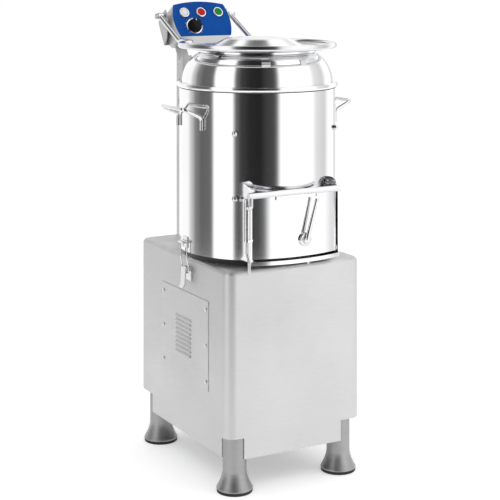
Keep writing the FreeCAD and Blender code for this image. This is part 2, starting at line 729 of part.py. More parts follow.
def side_handle():
    """Bent rod handle on the left of the drum, welded at both legs."""
    leg_x = math.sqrt((DRUM_R + GRIP_ROD_R + FACE_GAP) ** 2 - GRIP_HALF ** 2)
    points = []
    for side in (-1, 1):
        y = side * GRIP_HALF
        run = [V(-leg_x, y, GRIP_LEG_BOTTOM), V(-leg_x, y, GRIP_LEG_TOP), V(-GRIP_X, y, GRIP_Z)]
        points += run if side < 0 else run[::-1]
    return bent_rod(GRIP_ROD_R, points)


def chute_cheek(x):
    """Side wall of the chute, from the drum to the door."""
    corners = [V(x, -CHUTE_BACK, CHUTE_BOTTOM), V(x, -CHUTE_OUT, CHUTE_BOTTOM), V(x, -CHUTE_OUT, CHUTE_TOP - 20),
               V(x, -CHUTE_OUT + 12, CHUTE_TOP - 5), V(x, -CHUTE_OUT + 26, CHUTE_TOP), V(x, -CHUTE_BACK, CHUTE_TOP)]
    return plate(corners, V(CHUTE_SHEET, 0, 0))


def arc_sheet(outer, sheet, x0, x1, z0, z1):
    """Upright sheet bent to the flat arc of the chute front, between two side planes."""
    wall = ring(outer, outer - sheet, z0, z1, ARC_X, ARC_Y)
    return wall.common(block(x0, x1, ARC_Y - outer - 5, -CHUTE_BACK, z0, z1))


def chute_frame():
    """Cheeks, sill and curved lip of the discharge chute with the two hinge ears."""
    left = -CHUTE_LEFT
    right = CHUTE_RIGHT
    floor = Part.makeCylinder(LIP_ARC_R - LIP_SHEET / 2, CHUTE_SHEET, V(ARC_X, ARC_Y, CHUTE_BOTTOM))
    floor = floor.common(block(left, right, ARC_Y - LIP_ARC_R, -CHUTE_BACK, CHUTE_BOTTOM, CHUTE_BOTTOM + CHUTE_SHEET))
    lip = arc_sheet(LIP_ARC_R, LIP_SHEET, left, right, CHUTE_BOTTOM - LIP_DROP, CHUTE_BOTTOM + LIP_RISE)
    pieces = [chute_cheek(left), chute_cheek(right - CHUTE_SHEET), floor, lip]
    for z in (HINGE_TUBE_BOTTOM - EAR_H - FACE_GAP, HINGE_TUBE_TOP + FACE_GAP):
        ear = block(HINGE_X, left + CHUTE_SHEET, HINGE_Y - 6, HINGE_Y + 6, z, z + EAR_H)
        pieces.append(ear)
        pieces.append(Part.makeCylinder(HINGE_TUBE_R, EAR_H, V(HINGE_X, HINGE_Y, z)))
    bolt = rod(5, V(left, -CHUTE_OUT + 16, HINGE_TUBE_TOP + 6), V(left - 4, -CHUTE_OUT + 16, HINGE_TUBE_TOP + 6))
    stud_foot = V(CHUTE_STUD_X, ARC_Y - LIP_ARC_R + 6, CHUTE_BOTTOM + 1 - CHUTE_STUD_H)
    stud = Part.makeCylinder(CHUTE_STUD_R, CHUTE_STUD_H, stud_foot)
    frame = joined(pieces + [bolt, stud])
    frame = frame.cut(rod(DRUM_R + 0.2, V(0, 0, DRUM_BOTTOM - 30), V(0, 0, DRUM_TOP)))
    frame = frame.cut(rod(HINGE_PIN_R, V(HINGE_X, HINGE_Y, HINGE_PIN_BOTTOM), V(HINGE_X, HINGE_Y, HINGE_TUBE_TOP + 20)))
    return largest(frame)


def hinge_pin():
    """Door pin, cranked forward below the lower ear."""
    top = V(HINGE_X, HINGE_Y, HINGE_TUBE_TOP + EAR_H + 4)
    bend = V(HINGE_X, HINGE_Y, HINGE_PIN_BOTTOM + 46)
    low = V(HINGE_X, HINGE_Y - 10, HINGE_PIN_BOTTOM + 28)
    end = V(HINGE_X, HINGE_Y - 10, HINGE_PIN_BOTTOM)
    pin = bent_rod(HINGE_PIN_R - RUN_GAP, [top, bend, low, end])
    head = Part.makeCylinder(HINGE_PIN_R + 2, 4, V(HINGE_X, HINGE_Y, HINGE_TUBE_TOP + EAR_H + FACE_GAP))
    return joined([pin, head])


def door_plate():
    """Curved door leaf between the cheeks, with the hole for the lever spindle."""
    x0 = -CHUTE_LEFT + CHUTE_SHEET + DOOR_SIDE_GAP
    x1 = CHUTE_RIGHT - CHUTE_SHEET - DOOR_SIDE_GAP
    leaf = arc_sheet(DOOR_ARC_R, DOOR_SHEET, x0, x1, DOOR_BOTTOM, DOOR_TOP)
    return leaf.cut(rod(6 + RUN_GAP, V(LEVER_X, LEVER_FACE - 10, LEVER_Z), V(LEVER_X, LEVER_FACE + 20, LEVER_Z)))


def door_gasket():
    """Soft frame behind the door leaf."""
    x0 = -CHUTE_LEFT + PORT_MARGIN - 8
    x1 = CHUTE_RIGHT - PORT_MARGIN + 8
    outer = arc_sheet(LEAF_IN_R, DOOR_SEAL, x0, x1, PORT_BOTTOM - 8, PORT_TOP + 8)
    inner = arc_sheet(LEAF_IN_R + 1, DOOR_SEAL + 2, x0 + 8, x1 - 8, PORT_BOTTOM, PORT_TOP)
    return outer.cut(inner)


def door_frame():
    """Hinge tube, top bar and lugs that carry the door leaf."""
    tube = ring(HINGE_TUBE_R, HINGE_PIN_R, HINGE_TUBE_BOTTOM, HINGE_TUBE_TOP, HINGE_X, HINGE_Y)
    elbow = V(HINGE_X, BAR_Y, HINGE_TUBE_TOP - 12)
    neck = rod(5, V(HINGE_X, HINGE_Y - HINGE_PIN_R - 1, elbow.z), elbow)
    riser = bent_rod(5, [elbow + V(0, 2, 0), elbow, V(HINGE_X, BAR_Y, BAR_Z)])
    bar = rod(BAR_R, V(HINGE_X - 6, BAR_Y, BAR_Z), V(BAR_RIGHT, BAR_Y, BAR_Z))
    pieces = [tube, neck, riser, bar]
    for x in (ARC_X - 50.0, ARC_X + 58.0):
        face = ARC_Y - math.sqrt(DOOR_ARC_R ** 2 - (x - ARC_X) ** 2)
        pieces.append(block(x - LUG_HALF, x + LUG_HALF, face - LUG_SHEET, face + 1, DOOR_TOP - 8, BAR_Z))
    frame = joined(pieces)
    frame = frame.cut(Part.makeCylinder(DOOR_ARC_R + 0.1, DOOR_TOP + 0.1 - DOOR_BOTTOM, V(ARC_X, ARC_Y, DOOR_BOTTOM)))
    return largest(frame)


def door_handle():
    """Turning lever with its round boss, spindle and inner cam."""
    face = LEVER_FACE
    lean = math.radians(LEVER_LEAN)
    boss = rod(LEVER_BOSS_R, V(LEVER_X, face, LEVER_Z), V(LEVER_X, face - 6, LEVER_Z))
    hub = rod(9, V(LEVER_X, face - 6, LEVER_Z), V(LEVER_X, face - 14, LEVER_Z))
    spindle = rod(6, V(LEVER_X, face, LEVER_Z), V(LEVER_X, face + 12, LEVER_Z))
    root = V(LEVER_X, face - LEVER_ARM_OUT, LEVER_Z)
    tip = root + V(math.sin(lean), 0, math.cos(lean)) * LEVER_LENGTH
    arm = Part.makeCone(LEVER_ARM_R, LEVER_TIP_R, LEVER_LENGTH, root, tip - root)
    knob = Part.makeSphere(LEVER_TIP_R, tip)
    cam = block(LEVER_X - 7, LEVER_X + 7, face + 8, face + 12, LEVER_Z - 22, LEVER_Z + 8)
    return joined([boss, hub, spindle, arm, knob, cam])


def latch_base():
    """Latch plate on the left cabinet wall with two pivot ears."""
    wall = -CAB_HALF
    half = LATCH_WIDTH / 2
    back = block(wall - 2, wall, LATCH_Y - half, LATCH_Y + half, LATCH_PLATE_Z, LATCH_PLATE_Z + 34)
    pieces = [back]
    for y in (LATCH_Y - half, LATCH_Y + half - 2):
        pieces.append(block(wall - LATCH_PIVOT_OUT - 3.5, wall - 1, y, y + 2, LATCH_PIVOT_Z - 4, LATCH_PIVOT_Z + 4))
    pivot = V(wall - LATCH_PIVOT_OUT, LATCH_Y - half - 1.5, LATCH_PIVOT_Z)
    pieces.append(rod(2.0, pivot, pivot + V(0, LATCH_WIDTH + 3, 0)))
    return joined(pieces)


def latch_lever():
    """Finger lever on the base pivot, with the offset pin that carries the loop."""
    x = -CAB_HALF - LATCH_PIVOT_OUT
    half = LATCH_WIDTH / 2 - 2 - FACE_GAP
    hub = rod(5.0, V(x, LATCH_Y - half, LATCH_PIVOT_Z), V(x, LATCH_Y + half, LATCH_PIVOT_Z))
    low = LATCH_PIVOT_Z - LATCH_LEVER_L
    blade = plate([V(x - 5, LATCH_Y - half, LATCH_PIVOT_Z), V(x - 2.5, LATCH_Y - half, LATCH_PIVOT_Z),
                   V(x - 4.5, LATCH_Y - half, low + 8), V(x - 9.5, LATCH_Y - half, low),
                   V(x - 12, LATCH_Y - half, low), V(x - 7, LATCH_Y - half, low + 9)], V(0, 2 * half, 0))
    web = block(x - 5, x, LATCH_Y - half, LATCH_Y + half, LATCH_PIVOT_Z - LATCH_CRANK - 2.4, LATCH_PIVOT_Z)
    z = LATCH_PIVOT_Z - LATCH_CRANK
    pin = rod(1.8, V(x, LATCH_Y - half, z), V(x, LATCH_Y + half, z))
    eye = rod(2.4, V(x, LATCH_Y - half, z), V(x, LATCH_Y + half, z))
    lever = joined([hub, blade, web, eye, pin])
    return lever.cut(rod(2.0 + RUN_GAP, V(x, LATCH_Y - 40, LATCH_PIVOT_Z), V(x, LATCH_Y + 40, LATCH_PIVOT_Z))).cut(
        rod(LOOP_WIRE_R + RUN_GAP, V(x, LATCH_Y - 40, z), V(x, LATCH_Y + 40, z)))


def latch_loop():
    """Wire loop from the lever up to the catch."""
    x = -CAB_HALF - LATCH_PIVOT_OUT
    side = LATCH_WIDTH / 2 + LOOP_WIRE_R + 2.4
    low = LATCH_PIVOT_Z - LATCH_CRANK
    hook_x = loop_bar_x()
    joint_z = low + 16
    points = [V(x, LATCH_Y - side, low), V(x, LATCH_Y - side, joint_z), V(hook_x, LATCH_Y - side, joint_z + 20),
              V(hook_x, LATCH_Y - side, LOOP_BAR_Z), V(hook_x, LATCH_Y + side, LOOP_BAR_Z),
              V(hook_x, LATCH_Y + side, joint_z + 20), V(x, LATCH_Y + side, joint_z), V(x, LATCH_Y + side, low)]
    loop = bent_rod(LOOP_WIRE_R, points)
    axle = rod(LOOP_WIRE_R, V(x, LATCH_Y - side, low), V(x, LATCH_Y + side, low))
    ends = [Part.makeSphere(LOOP_WIRE_R, V(x, LATCH_Y + s * side, low)) for s in (-1, 1)]
    return joined([loop, axle] + ends)


def loop_bar_x():
    """Where the loop's top bar lies beside the drum wall."""
    return -DRUM_R - 2.0 - LOOP_WIRE_R - 1.4


def latch_catch():
    """Hook on the drum wall that the loop draws down on."""
    half = LATCH_WIDTH / 2 - 1
    x = loop_bar_x()
    lip_in = x - HOOK_GAP
    shelf_top = LOOP_BAR_Z - LOOP_WIRE_R - FACE_GAP
    back = block(-DRUM_R - 2, -DRUM_R + 3, LATCH_Y - half, LATCH_Y + half, LOOP_BAR_Z - 15, LOOP_BAR_Z + 11)
    shelf = block(lip_in - 2, -DRUM_R - 1, LATCH_Y - half, LATCH_Y + half, shelf_top - 2, shelf_top)
    lip = block(lip_in - 2, lip_in, LATCH_Y - half, LATCH_Y + half, shelf_top - 2, LOOP_BAR_Z + 0.6)
    hook = joined([back, shelf, lip])
    return largest(hook.cut(rod(DRUM_R + 0.2, V(0, 0, DRUM_BOTTOM - 5), V(0, 0, DRUM_TOP))))


def box_frame():
    """Placement that carries (across, up the face, out of the face) into the leaning control box."""
    turn = FreeCAD.Rotation(X_AXIS, 90 - BOX_LEAN)
    return FreeCAD.Placement(V(0, BOX_Y, BOX_Z), turn)


def set_in_box(shape):
    """Shape drawn flat in the face's own axes, moved to the leaning box."""
    placed = shape.copy()
    placed.Placement = box_frame().multiply(placed.Placement)
    return placed


def face_outline(inset, w):
    """Control face: straight foot, bulging sides and arched crown."""
    foot = BOX_HALF_FOOT - inset
    mid = BOX_HALF_MID - inset
    top = BOX_SIDE_V - inset
    crown = BOX_CROWN_V - inset
    a, b = V(-foot, inset, w), V(foot, inset, w)
    c, d = V(foot, top, w), V(-foot, top, w)
    edges = [Part.makeLine(a, b), Part.Arc(b, V(mid, BOX_MID_V, w), c).toShape(),
             Part.Arc(c, V(0, crown, w), d).toShape(), Part.Arc(d, V(-mid, BOX_MID_V, w), a).toShape()]
    return Part.Face(Part.Wire(edges))


def control_box():
    """Sheet housing behind the control face."""
    outer = face_outline(0.0, -BOX_DEPTH).extrude(V(0, 0, BOX_DEPTH))
    inner = face_outline(BOX_SHEET, -BOX_DEPTH + BOX_SHEET).extrude(V(0, 0, BOX_DEPTH))
    body = outer.cut(inner)
    body = body.cut(rod(GLAND_R - 2, V(GLAND_U, GLAND_V, -BOX_DEPTH - 5), V(GLAND_U, GLAND_V, -BOX_DEPTH + 5)))
    return set_in_box(body)


def key_places():
    """Centres of the lamp, the stop button and the start button on the face."""
    return {"lamp": LAMP_U, "stop": STOP_U, "start": START_U}


def control_face():
    """Blue face plate with holes for the lamp, the buttons and the timer."""
    body = face_outline(0.0, 0.0).extrude(V(0, 0, FACE_PLATE))
    for u in key_places().values():
        body = body.cut(rod(CAP_R + 1.0, V(u, KEY_V, -5), V(u, KEY_V, 10)))
    body = body.cut(rod(4, V(KNOB_U, KNOB_V, -5), V(KNOB_U, KNOB_V, 10)))
    return set_in_box(body)


def face_bezels():
    """Bright rings round the lamp, the buttons and the timer knob."""
    rings = []
    for u in key_places().values():
        bezel = pipe(BEZEL_R, CAP_R + 0.4, V(u, KEY_V, FACE_PLATE), V(u, KEY_V, FACE_PLATE + 4))
        rings.append(bezel)
    rings.append(pipe(KNOB_RING_R, 4.3, V(KNOB_U, KNOB_V, FACE_PLATE), V(KNOB_U, KNOB_V, FACE_PLATE + 2)))
    return set_in_box(group(rings))


def push_button(u):
    """Button cap on its stem, with the contact block end inside the box."""
    cap = rod(CAP_R, V(u, KEY_V, FACE_PLATE - 4), V(u, KEY_V, FACE_PLATE + CAP_OUT))
    stem = rod(4, V(u, KEY_V, -22), V(u, KEY_V, FACE_PLATE - 3))
    return set_in_box(joined([cap, stem]))


def contact_blocks():
    """Switch and timer blocks behind the face."""
    blocks = []
    for u in (STOP_U, START_U):
        body = block(u - 14, u + 14, KEY_V - 15, KEY_V + 15, -50, -8)
        body = joined([body, pipe(BEZEL_R - 1, CAP_R + 1.5, V(u, KEY_V, -9), V(u, KEY_V, 0))])
        blocks.append(body.cut(rod(4 + HOLE_GAP, V(u, KEY_V, -22 - KEY_TRAVEL - 1), V(u, KEY_V, 1))))
    timer = block(KNOB_U - 22, KNOB_U + 22, KNOB_V - 22, KNOB_V + 15, -45, 0)
    blocks.append(timer.cut(rod(3 + RUN_GAP, V(KNOB_U, KNOB_V, -18), V(KNOB_U, KNOB_V, 1))))
    return set_in_box(group(blocks))


def signal_lamp():
    """Lamp lens with a low dome."""
    body = rod(CAP_R, V(LAMP_U, KEY_V, -18), V(LAMP_U, KEY_V, FACE_PLATE + 3))
    dome = Part.makeSphere(CAP_R * 1.6, V(LAMP_U, KEY_V, FACE_PLATE + 3 - CAP_R * 1.25))
    dome = dome.cut(block(LAMP_U - 30, LAMP_U + 30, KEY_V - 30, KEY_V + 30, -40, FACE_PLATE + 3))
    return set_in_box(joined([body, dome]))


def timer_knob():
    """Round knob with a pointer bar, on its spindle."""
    low = FACE_PLATE + 2 + FACE_GAP
    skirt = rod(KNOB_R, V(KNOB_U, KNOB_V, low), V(KNOB_U, KNOB_V, low + 4))
    body = Part.makeCone(KNOB_R - 2, KNOB_R - 4, KNOB_H - 4, V(KNOB_U, KNOB_V, low + 4))
    grip = block(KNOB_U - 3, KNOB_U + 3, KNOB_V - KNOB_R + 5, KNOB_V + KNOB_R - 3, low + 4, low + KNOB_H + 4)
    spindle = rod(3, V(KNOB_U, KNOB_V, -17), V(KNOB_U, KNOB_V, low + 2))
    return set_in_box(joined([skirt, body, grip, spindle]))


def cable_gland():
    """Gland for the supply lead in the rear of the box, with an open bore."""
    back = -BOX_DEPTH
    seat = rod(GLAND_R + 2, V(GLAND_U, GLAND_V, back - BRACKET_SHEET - FACE_GAP), V(GLAND_U, GLAND_V, back - 12))
    neck = Part.makeCone(GLAND_R - 3, GLAND_R + 1, 14, V(GLAND_U, GLAND_V, back - 24))
    thread = rod(GLAND_R - 2.3, V(GLAND_U, GLAND_V, back - 5), V(GLAND_U, GLAND_V, back + 8))
    body = joined([seat, neck, thread])
    return set_in_box(body.cut(rod(4, V(GLAND_U, GLAND_V, back - 40), V(GLAND_U, GLAND_V, back + 20))))


def box_bracket():
    """Folded bracket that holds the box from behind and carries the lid pivots."""
    back_w = -BOX_DEPTH
    back = block(-BRACKET_U, BRACKET_U, BRACKET_FOOT_V, BRACKET_TOP_V, back_w - BRACKET_SHEET, back_w)
    tongue = block(POST_LEFT - 2, POST_LEFT + POST_WIDTH + 2, TONGUE_FOOT_V, BRACKET_FOOT_V + 2,
                   back_w - BRACKET_SHEET, back_w)
    pieces = [back, tongue]
    for side in (-1, 1):
        x = side * BRACKET_U
        inner = x - side * BRACKET_SHEET
        corners = [V(inner, BRACKET_FOOT_V, back_w - BRACKET_SHEET), V(inner, 22, -44), V(inner, 66, -12),
                   V(inner, 88, -14), V(inner, 88, -36), V(inner, BRACKET_TOP_V, back_w - BRACKET_SHEET)]
        pieces.append(plate(corners, V(side * BRACKET_SHEET, 0, 0)))
    body = joined(pieces)
    body = body.cut(rod(GLAND_R + 2.5, V(GLAND_U, GLAND_V, back_w - 10), V(GLAND_U, GLAND_V, back_w + 1)))
    return set_in_box(body)


def lid_pins():
    """Two pivot pins between the bracket and the lid arms."""
    pins = []
    for side in (-1, 1):
        start = V(side * (BRACKET_U - BRACKET_SHEET - 3), PIVOT_Y, PIVOT_Z)
        end = V(side * (ARM_X + 9), PIVOT_Y, PIVOT_Z)
        head = rod(PIVOT_PIN_R + 3, V(side * (ARM_X + 8), PIVOT_Y, PIVOT_Z), V(side * (ARM_X + 12), PIVOT_Y, PIVOT_Z))
        pins.append(joined([rod(PIVOT_PIN_R, start, end), head]))
    return pins


def support_post():
    """Hollow post behind the cabinet, trimmed under the leaning box."""
    left = POST_LEFT
    right = POST_LEFT + POST_WIDTH
    outer = block(left, right, CAB_REAR, CAB_REAR + POST_DEPTH, POST_BOTTOM, POST_TOP)
    outer = outer.makeFillet(3.0, vertical_edges(outer))
    inner = block(left + 2, right - 2, CAB_REAR + 2, CAB_REAR + POST_DEPTH - 2, POST_BOTTOM + 2, POST_TOP)
    clear = set_in_box(block(-120, 120, -FACE_GAP, 130, -BOX_DEPTH - BRACKET_SHEET, 20))
    tongue = set_in_box(block(-120, 120, -60, 130, -BOX_DEPTH - BRACKET_SHEET, 20))
    return largest(outer.cut(inner).cut(clear).cut(tongue.common(set_in_box(block(-120, 120, -34, 130, -90, 20)))))


def post_stays():
    """Flat stays from the post to the drum wall, each with a bolt through the post side."""
    stays = []
    x = POST_LEFT + 6
    for z in STAY_HEIGHTS:
        bar = block(x, x + STAY_SHEET, DRUM_R - 40, CAB_REAR, z - STAY_H / 2, z + STAY_H / 2)
        foot = block(x, x + 26, DRUM_R - 40, DRUM_R - 2, z - STAY_H / 2, z + STAY_H / 2)
        heel = block(x, x + 18, CAB_REAR - 4, CAB_REAR, z - STAY_H / 2, z + STAY_H / 2)
        foot = foot.common(ring(DRUM_R + 4, DRUM_R + 0.2, z - STAY_H, z + STAY_H))
        stay = joined([bar.cut(rod(DRUM_R + 0.2, V(0, 0, z - 20), V(0, 0, z + 20))), foot, heel])
        stays.append(largest(stay))
        y = CAB_REAR + POST_DEPTH / 2
        stays.append(rod(6, V(POST_LEFT, y, z), V(POST_LEFT - 5, y, z)))
    return stays


def lid_disc():
    """Lid with a flat rim, a raised middle, a turned-down edge and a seat over the gasket."""
    top = LID_FOOT + LID_RIM_H
    crown = top + LID_CROWN_H
    low = top - LID_SHEET
    edge = LID_R - LID_SHEET
    seat_in = NECK_R - SHELL_SHEET - NECK_LIP
    outside = [(0, crown), (LID_CROWN_R * 0.4, crown), (LID_CROWN_R * 0.75, crown - 2), (LID_CROWN_R, crown - 5),
               (LID_CROWN_FOOT_R, top), (LID_R, top), (LID_R, LID_FOOT), (seat_in, LID_FOOT)]
    inside = [(seat_in, LID_FOOT + LID_SHEET), (edge, LID_FOOT + LID_SHEET), (edge, low), (LID_CROWN_FOOT_R - 1.5, low),
              (LID_CROWN_R - 1.0, crown - 7.0), (LID_CROWN_R * 0.75, crown - 2 - LID_SHEET),
              (LID_CROWN_R * 0.4, crown - LID_SHEET), (0, crown - LID_SHEET)]
    return turned(outside + inside)


def lid_hoop():
    """Tubular hoop round the lid whose ends run back as the two hinge arms."""
    end_y = math.sqrt(HOOP_R ** 2 - ARM_X ** 2)
    hoop = Part.makeTorus(HOOP_R, HOOP_TUBE_R, V(0, 0, HOOP_Z))
    hoop = hoop.cut(block(-ARM_X, ARM_X, 0, HOOP_R + 20, HOOP_Z - 20, HOOP_Z + 20))
    pieces = [hoop]
    for side in (-1, 1):
        x = side * ARM_X
        root = V(x, end_y, HOOP_Z)
        bend = V(x, ARM_BEND_Y, HOOP_Z)
        pivot = V(x, PIVOT_Y, PIVOT_Z)
        pieces += [Part.makeSphere(HOOP_TUBE_R, root), rod(HOOP_TUBE_R, root, bend), Part.makeSphere(HOOP_TUBE_R, bend),
                   rod(HOOP_TUBE_R, bend, pivot), rod(HOOP_TUBE_R + 2, pivot - V(7, 0, 0), pivot + V(7, 0, 0))]
    body = joined(pieces)
    bore = rod(PIVOT_PIN_R + RUN_GAP, V(-ARM_X - 20, PIVOT_Y, PIVOT_Z), V(ARM_X + 20, PIVOT_Y, PIVOT_Z))
    return body.cut(bore)


def lid_tabs():
    """Flat tabs that join the lid rim to the hoop."""
    tabs = []
    low = LID_FOOT + 1
    for angle in TAB_ANGLES:
        tab = block(LID_R - 4, HOOP_R, -TAB_WIDTH / 2, TAB_WIDTH / 2, low, low + TAB_SHEET)
        tab = tab.cut(ring(LID_R + 0.2, 10, low - 1, low + TAB_SHEET + 1))
        tabs.append(around(tab, angle).cut(Part.makeTorus(HOOP_R, HOOP_TUBE_R + 0.2, V(0, 0, HOOP_Z))))
    return group([largest(tab) for tab in tabs])


def save(name, shape):
    """Write one node, moved so that the origin is under the middle of the machine."""
    placed = shape.copy()
    placed.translate(V(0, AXIS_Y, 0))
    placed.exportStep("parts/" + name + ".step")
    for solid in placed.Solids:
        if not solid.isValid():
            print("not valid:", name)
    print(name, len(placed.Solids), round(placed.Volume / 1000, 1))


def main():
    """Build every node."""
    os.makedirs("parts", exist_ok=True)
    save("cabinet_shell", cabinet_shell())
    save("base_skirt", base_skirt())
    for number, (x, y) in enumerate(leg_places(), 1):
        save("leg_%d" % number, leg(x, y))
    save("foot_pads", foot_pads())
    save("access_panel", access_panel())
    save("panel_screws", panel_screws())
    save("drum_seat", drum_seat())
    save("drum_shell", drum_shell())
    save("dome_cover", dome_cover())
    save("neck_band", neck_band())
    save("feed_gasket", feed_gasket())
    for number, angle in enumerate(bolt_angles(), 1):
        save("liner_strip_%d" % number, liner_strip(angle))
    save("liner_bolts", liner_bolts())
    save("turntable", turntable())
    save("main_shaft", group([main_shaft(), hub_cap()]))
    save("bearing_housing", bearing_housing())
    save("bearings_and_seal", group(bearings() + [shaft_seal()]))
    save("driven_pulley", driven_pulley())
    save("motor_shaft", motor_shaft())
    save("drive_belt", drive_belt())
    save("motor_plate", motor_plate())
    save("motor_body", motor_body())
    save("drain_pipe", drain_pipe())
    save("water_inlet", water_inlet())
    save("handle_left", side_handle())
    save("handle_right", flipped(side_handle()))
    save("chute_frame", chute_frame())
    save("door_hinge_pin", hinge_pin())
    save("door_plate", door_plate())
    save("door_gasket", door_gasket())
    save("door_frame", door_frame())
    save("door_handle", door_handle())
    makers = {"base": latch_base, "lever": latch_lever, "loop": latch_loop}
    for name, maker in makers.items():
        save("latch_%s_left" % name, maker())
        save("latch_%s_right" % name, flipped(maker()))
    save("latch_catches", group([latch_catch(), flipped(latch_catch())]))
    save("support_post", group([support_post()] + post_stays()))
    save("box_bracket", group([box_bracket()] + lid_pins()))
    save("control_box", control_box())
    save("control_face", control_face())
    save("face_bezels", face_bezels())
    save("contact_blocks", contact_blocks())
    save("signal_lamp", signal_lamp())
    save("stop_button", push_button(STOP_U))
    save("start_button", push_button(START_U))
    save("timer_knob", timer_knob())
    save("cable_gland", cable_gland())
    save("lid_disc", lid_disc())
    save("lid_hoop", lid_hoop())
    save("lid_tabs", lid_tabs())


main()
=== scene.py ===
"""Looks of the floor-standing potato peeler: fine metal skins, finishes, studio and camera."""
import json
import math

import bpy
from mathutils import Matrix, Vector


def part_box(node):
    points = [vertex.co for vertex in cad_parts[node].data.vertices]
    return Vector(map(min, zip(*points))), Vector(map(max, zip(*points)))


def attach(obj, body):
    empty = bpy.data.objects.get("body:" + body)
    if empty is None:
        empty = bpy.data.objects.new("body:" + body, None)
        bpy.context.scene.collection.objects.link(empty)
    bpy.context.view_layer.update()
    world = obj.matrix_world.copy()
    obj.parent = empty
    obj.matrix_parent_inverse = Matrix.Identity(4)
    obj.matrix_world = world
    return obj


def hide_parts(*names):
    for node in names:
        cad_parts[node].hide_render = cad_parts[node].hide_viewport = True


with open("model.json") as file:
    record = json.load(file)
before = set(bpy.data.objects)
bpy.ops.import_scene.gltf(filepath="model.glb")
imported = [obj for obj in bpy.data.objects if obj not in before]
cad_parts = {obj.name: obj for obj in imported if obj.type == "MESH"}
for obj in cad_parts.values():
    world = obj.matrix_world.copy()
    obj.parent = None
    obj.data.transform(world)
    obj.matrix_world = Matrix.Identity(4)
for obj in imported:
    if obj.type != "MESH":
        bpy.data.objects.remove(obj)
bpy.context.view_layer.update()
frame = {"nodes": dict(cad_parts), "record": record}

# Places taken from the frame, in millimetres
MM = 0.001


def node_box(node):
    """Lowest and highest corners of a node in millimetres."""
    low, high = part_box(node)
    return Vector(low) / MM, Vector(high) / MM


DRUM_LOW, DRUM_HIGH = node_box("drum_shell")
AXIS_X = 0.0
AXIS_Y = (DRUM_LOW.y + DRUM_HIGH.y) / 2
DOME_LOW, DOME_HIGH = node_box("dome_cover")
CAB_LOW, CAB_HIGH = node_box("cabinet_shell")
LID_LOW, LID_HIGH = node_box("lid_disc")
PADS_LOW, PADS_HIGH = node_box("foot_pads")
SKIRT_TOP = node_box("base_skirt")[1].z

# Sizes in millimetres: drum and dome
SHEET = 2.0
DRUM_R = 190.0
DRUM_TOP = 913.0
DRUM_FLOOR = 3.0
SHAFT_HOLE_R = 21.0
BEAD_R = 197.0
BEAD_H = 12.0
LEDGE_R = 180.0
LEDGE_H = 3.0
DOME_R = 184.0
DOME_FIT = 0.3
DOME_ARC_R = 80.0
DOME_RISE = 9.0
NECK_R = 134.0
NECK_LIP_R = NECK_R - SHEET - 3.0
NECK_RIM_R = 140.0
PORT = (-110.0, 90.0, 548.0, 668.0)
PORT_STEPS = 36
REST_STEPS = 156

# Lid and hoop
LID_R = 158.0
LID_RIM_H = 7.0
LID_EDGE_R = 2.5
LID_CROWN = (80.0, 112.0)
CROWN_FLAT = 0.4
CROWN_SAG = 2.8
HOOP_R = 187.0
HOOP_TUBE_R = 7.0
HOOP_Z = 1013.0
HOOP_BEND_R = 26.0
ARM_X = 104.0
ARM_BEND_Y = 216.0
PIVOT = (335.0, 1073.0)
EYE_R = HOOP_TUBE_R + 2.0
EYE_BORE_R = 4.05
EYE_HALF = 7.0

# Cabinet, legs and handles
CAB_CORNER_R = 26.0
CAB_TOP_R = 9.0
CAB_TOP_STEPS = 8
LEG_R = 27.5
LEG_FLARE_R = 42.0
LEG_FLARE_H = 40.0
FLARE_FOOT = 3.0
FLARE_POWER = 1.7
FLARE_STEPS = 20
PAD_INSET = 0.5
PAD_EDGE_R = 2.0
LEG_TOP_GAP = 2.0
GRIP_ROD_R = 4.5
GRIP_X = 230.0
GRIP_HALF = 62.0
GRIP_Z = 871.0
GRIP_LEG = (821.0, 850.0)
GRIP_BEND_R = 11.0
WELD_GAP = 0.3

# Door, its bar, hinge and lever
ARC = (-10.0, 119.0)
LEAF_R = 331.0
LEAF_SHEET = 2.5
LEAF_COLUMNS = 64
LEAF_EDGE = 1.0
LUGS = (-60.0, 48.0)
LUG_HALF = 9.0
LUG_SHEET = 2.6
LUG_FOOT = 8.0
LUG_GAP = 0.4
BAR_R = 7.0
BAR_Y = -214.0
BAR_Z = 686.0
BAR_OVERHANG = 6.0
ELBOW_R = 5.0
ELBOW_BEND_R = 9.0
ELBOW_DROP = 12.0
HINGE = (-137.0, -196.0)
HINGE_TUBE = (585.0, 669.0, 7.0)
HINGE_BORE_R = 3.5
LEVER = (6.0, 575.0, 97.0, math.radians(16.0))
LEVER_OUT = 11.0
LEVER_ROOT = 6.5
LEVER_TAPER = 2.6
LEVER_SWELL = 1.0
LEVER_THIN = 0.7
LEVER_STEPS = 24
LEVER_SIDES = 28
BOSS_R = 16.0
SPINDLE = (6.0, 11.5)

# Control face, its keys and its timer
BOX_LEAN = math.radians(31.0)
BOX_FOOT = (274.0, 1022.0)
FACE_PLATE = 2.5
KEY_V = 68.0
KEYS = {"signal_lamp": -48.0, "stop_button": 1.0, "start_button": 51.0}
CAPS = {"signal_lamp": ("frame", "lamp_white", 4.6), "stop_button": ("stop_button", "button_red", 6.0),
        "start_button": ("start_button", "button_green", 6.0)}
BEZEL_R = 14.2
BEZEL_H = 4.0
CAP_R = 10.0
CAP_DEPTH = 4.0
CAP_EDGE_R = 1.5
LENS_RISE = 2.4
KNOB = (-28.0, 28.0, 19.0, 22.5)
KNOB_LIFT = 2.3
DIAL_BORE_R = 4.3
FLUTES = 24
FLUTE_DEPTH = 0.7
POINTER_HALF = 0.8
TICKS = 13
TICK_START = 225
TICK_SWEEP = 270
TICK_HALF = 0.28
TICK_GAP = 1.4

# Facets round turned pieces and bars
ROUND = 192
ROUND_MID = 96
ROUND_SMALL = 48
BOX_FACES = ((3, 2, 1, 0), (4, 5, 6, 7), (0, 1, 5, 4), (1, 2, 6, 5), (2, 3, 7, 6), (3, 0, 4, 7))


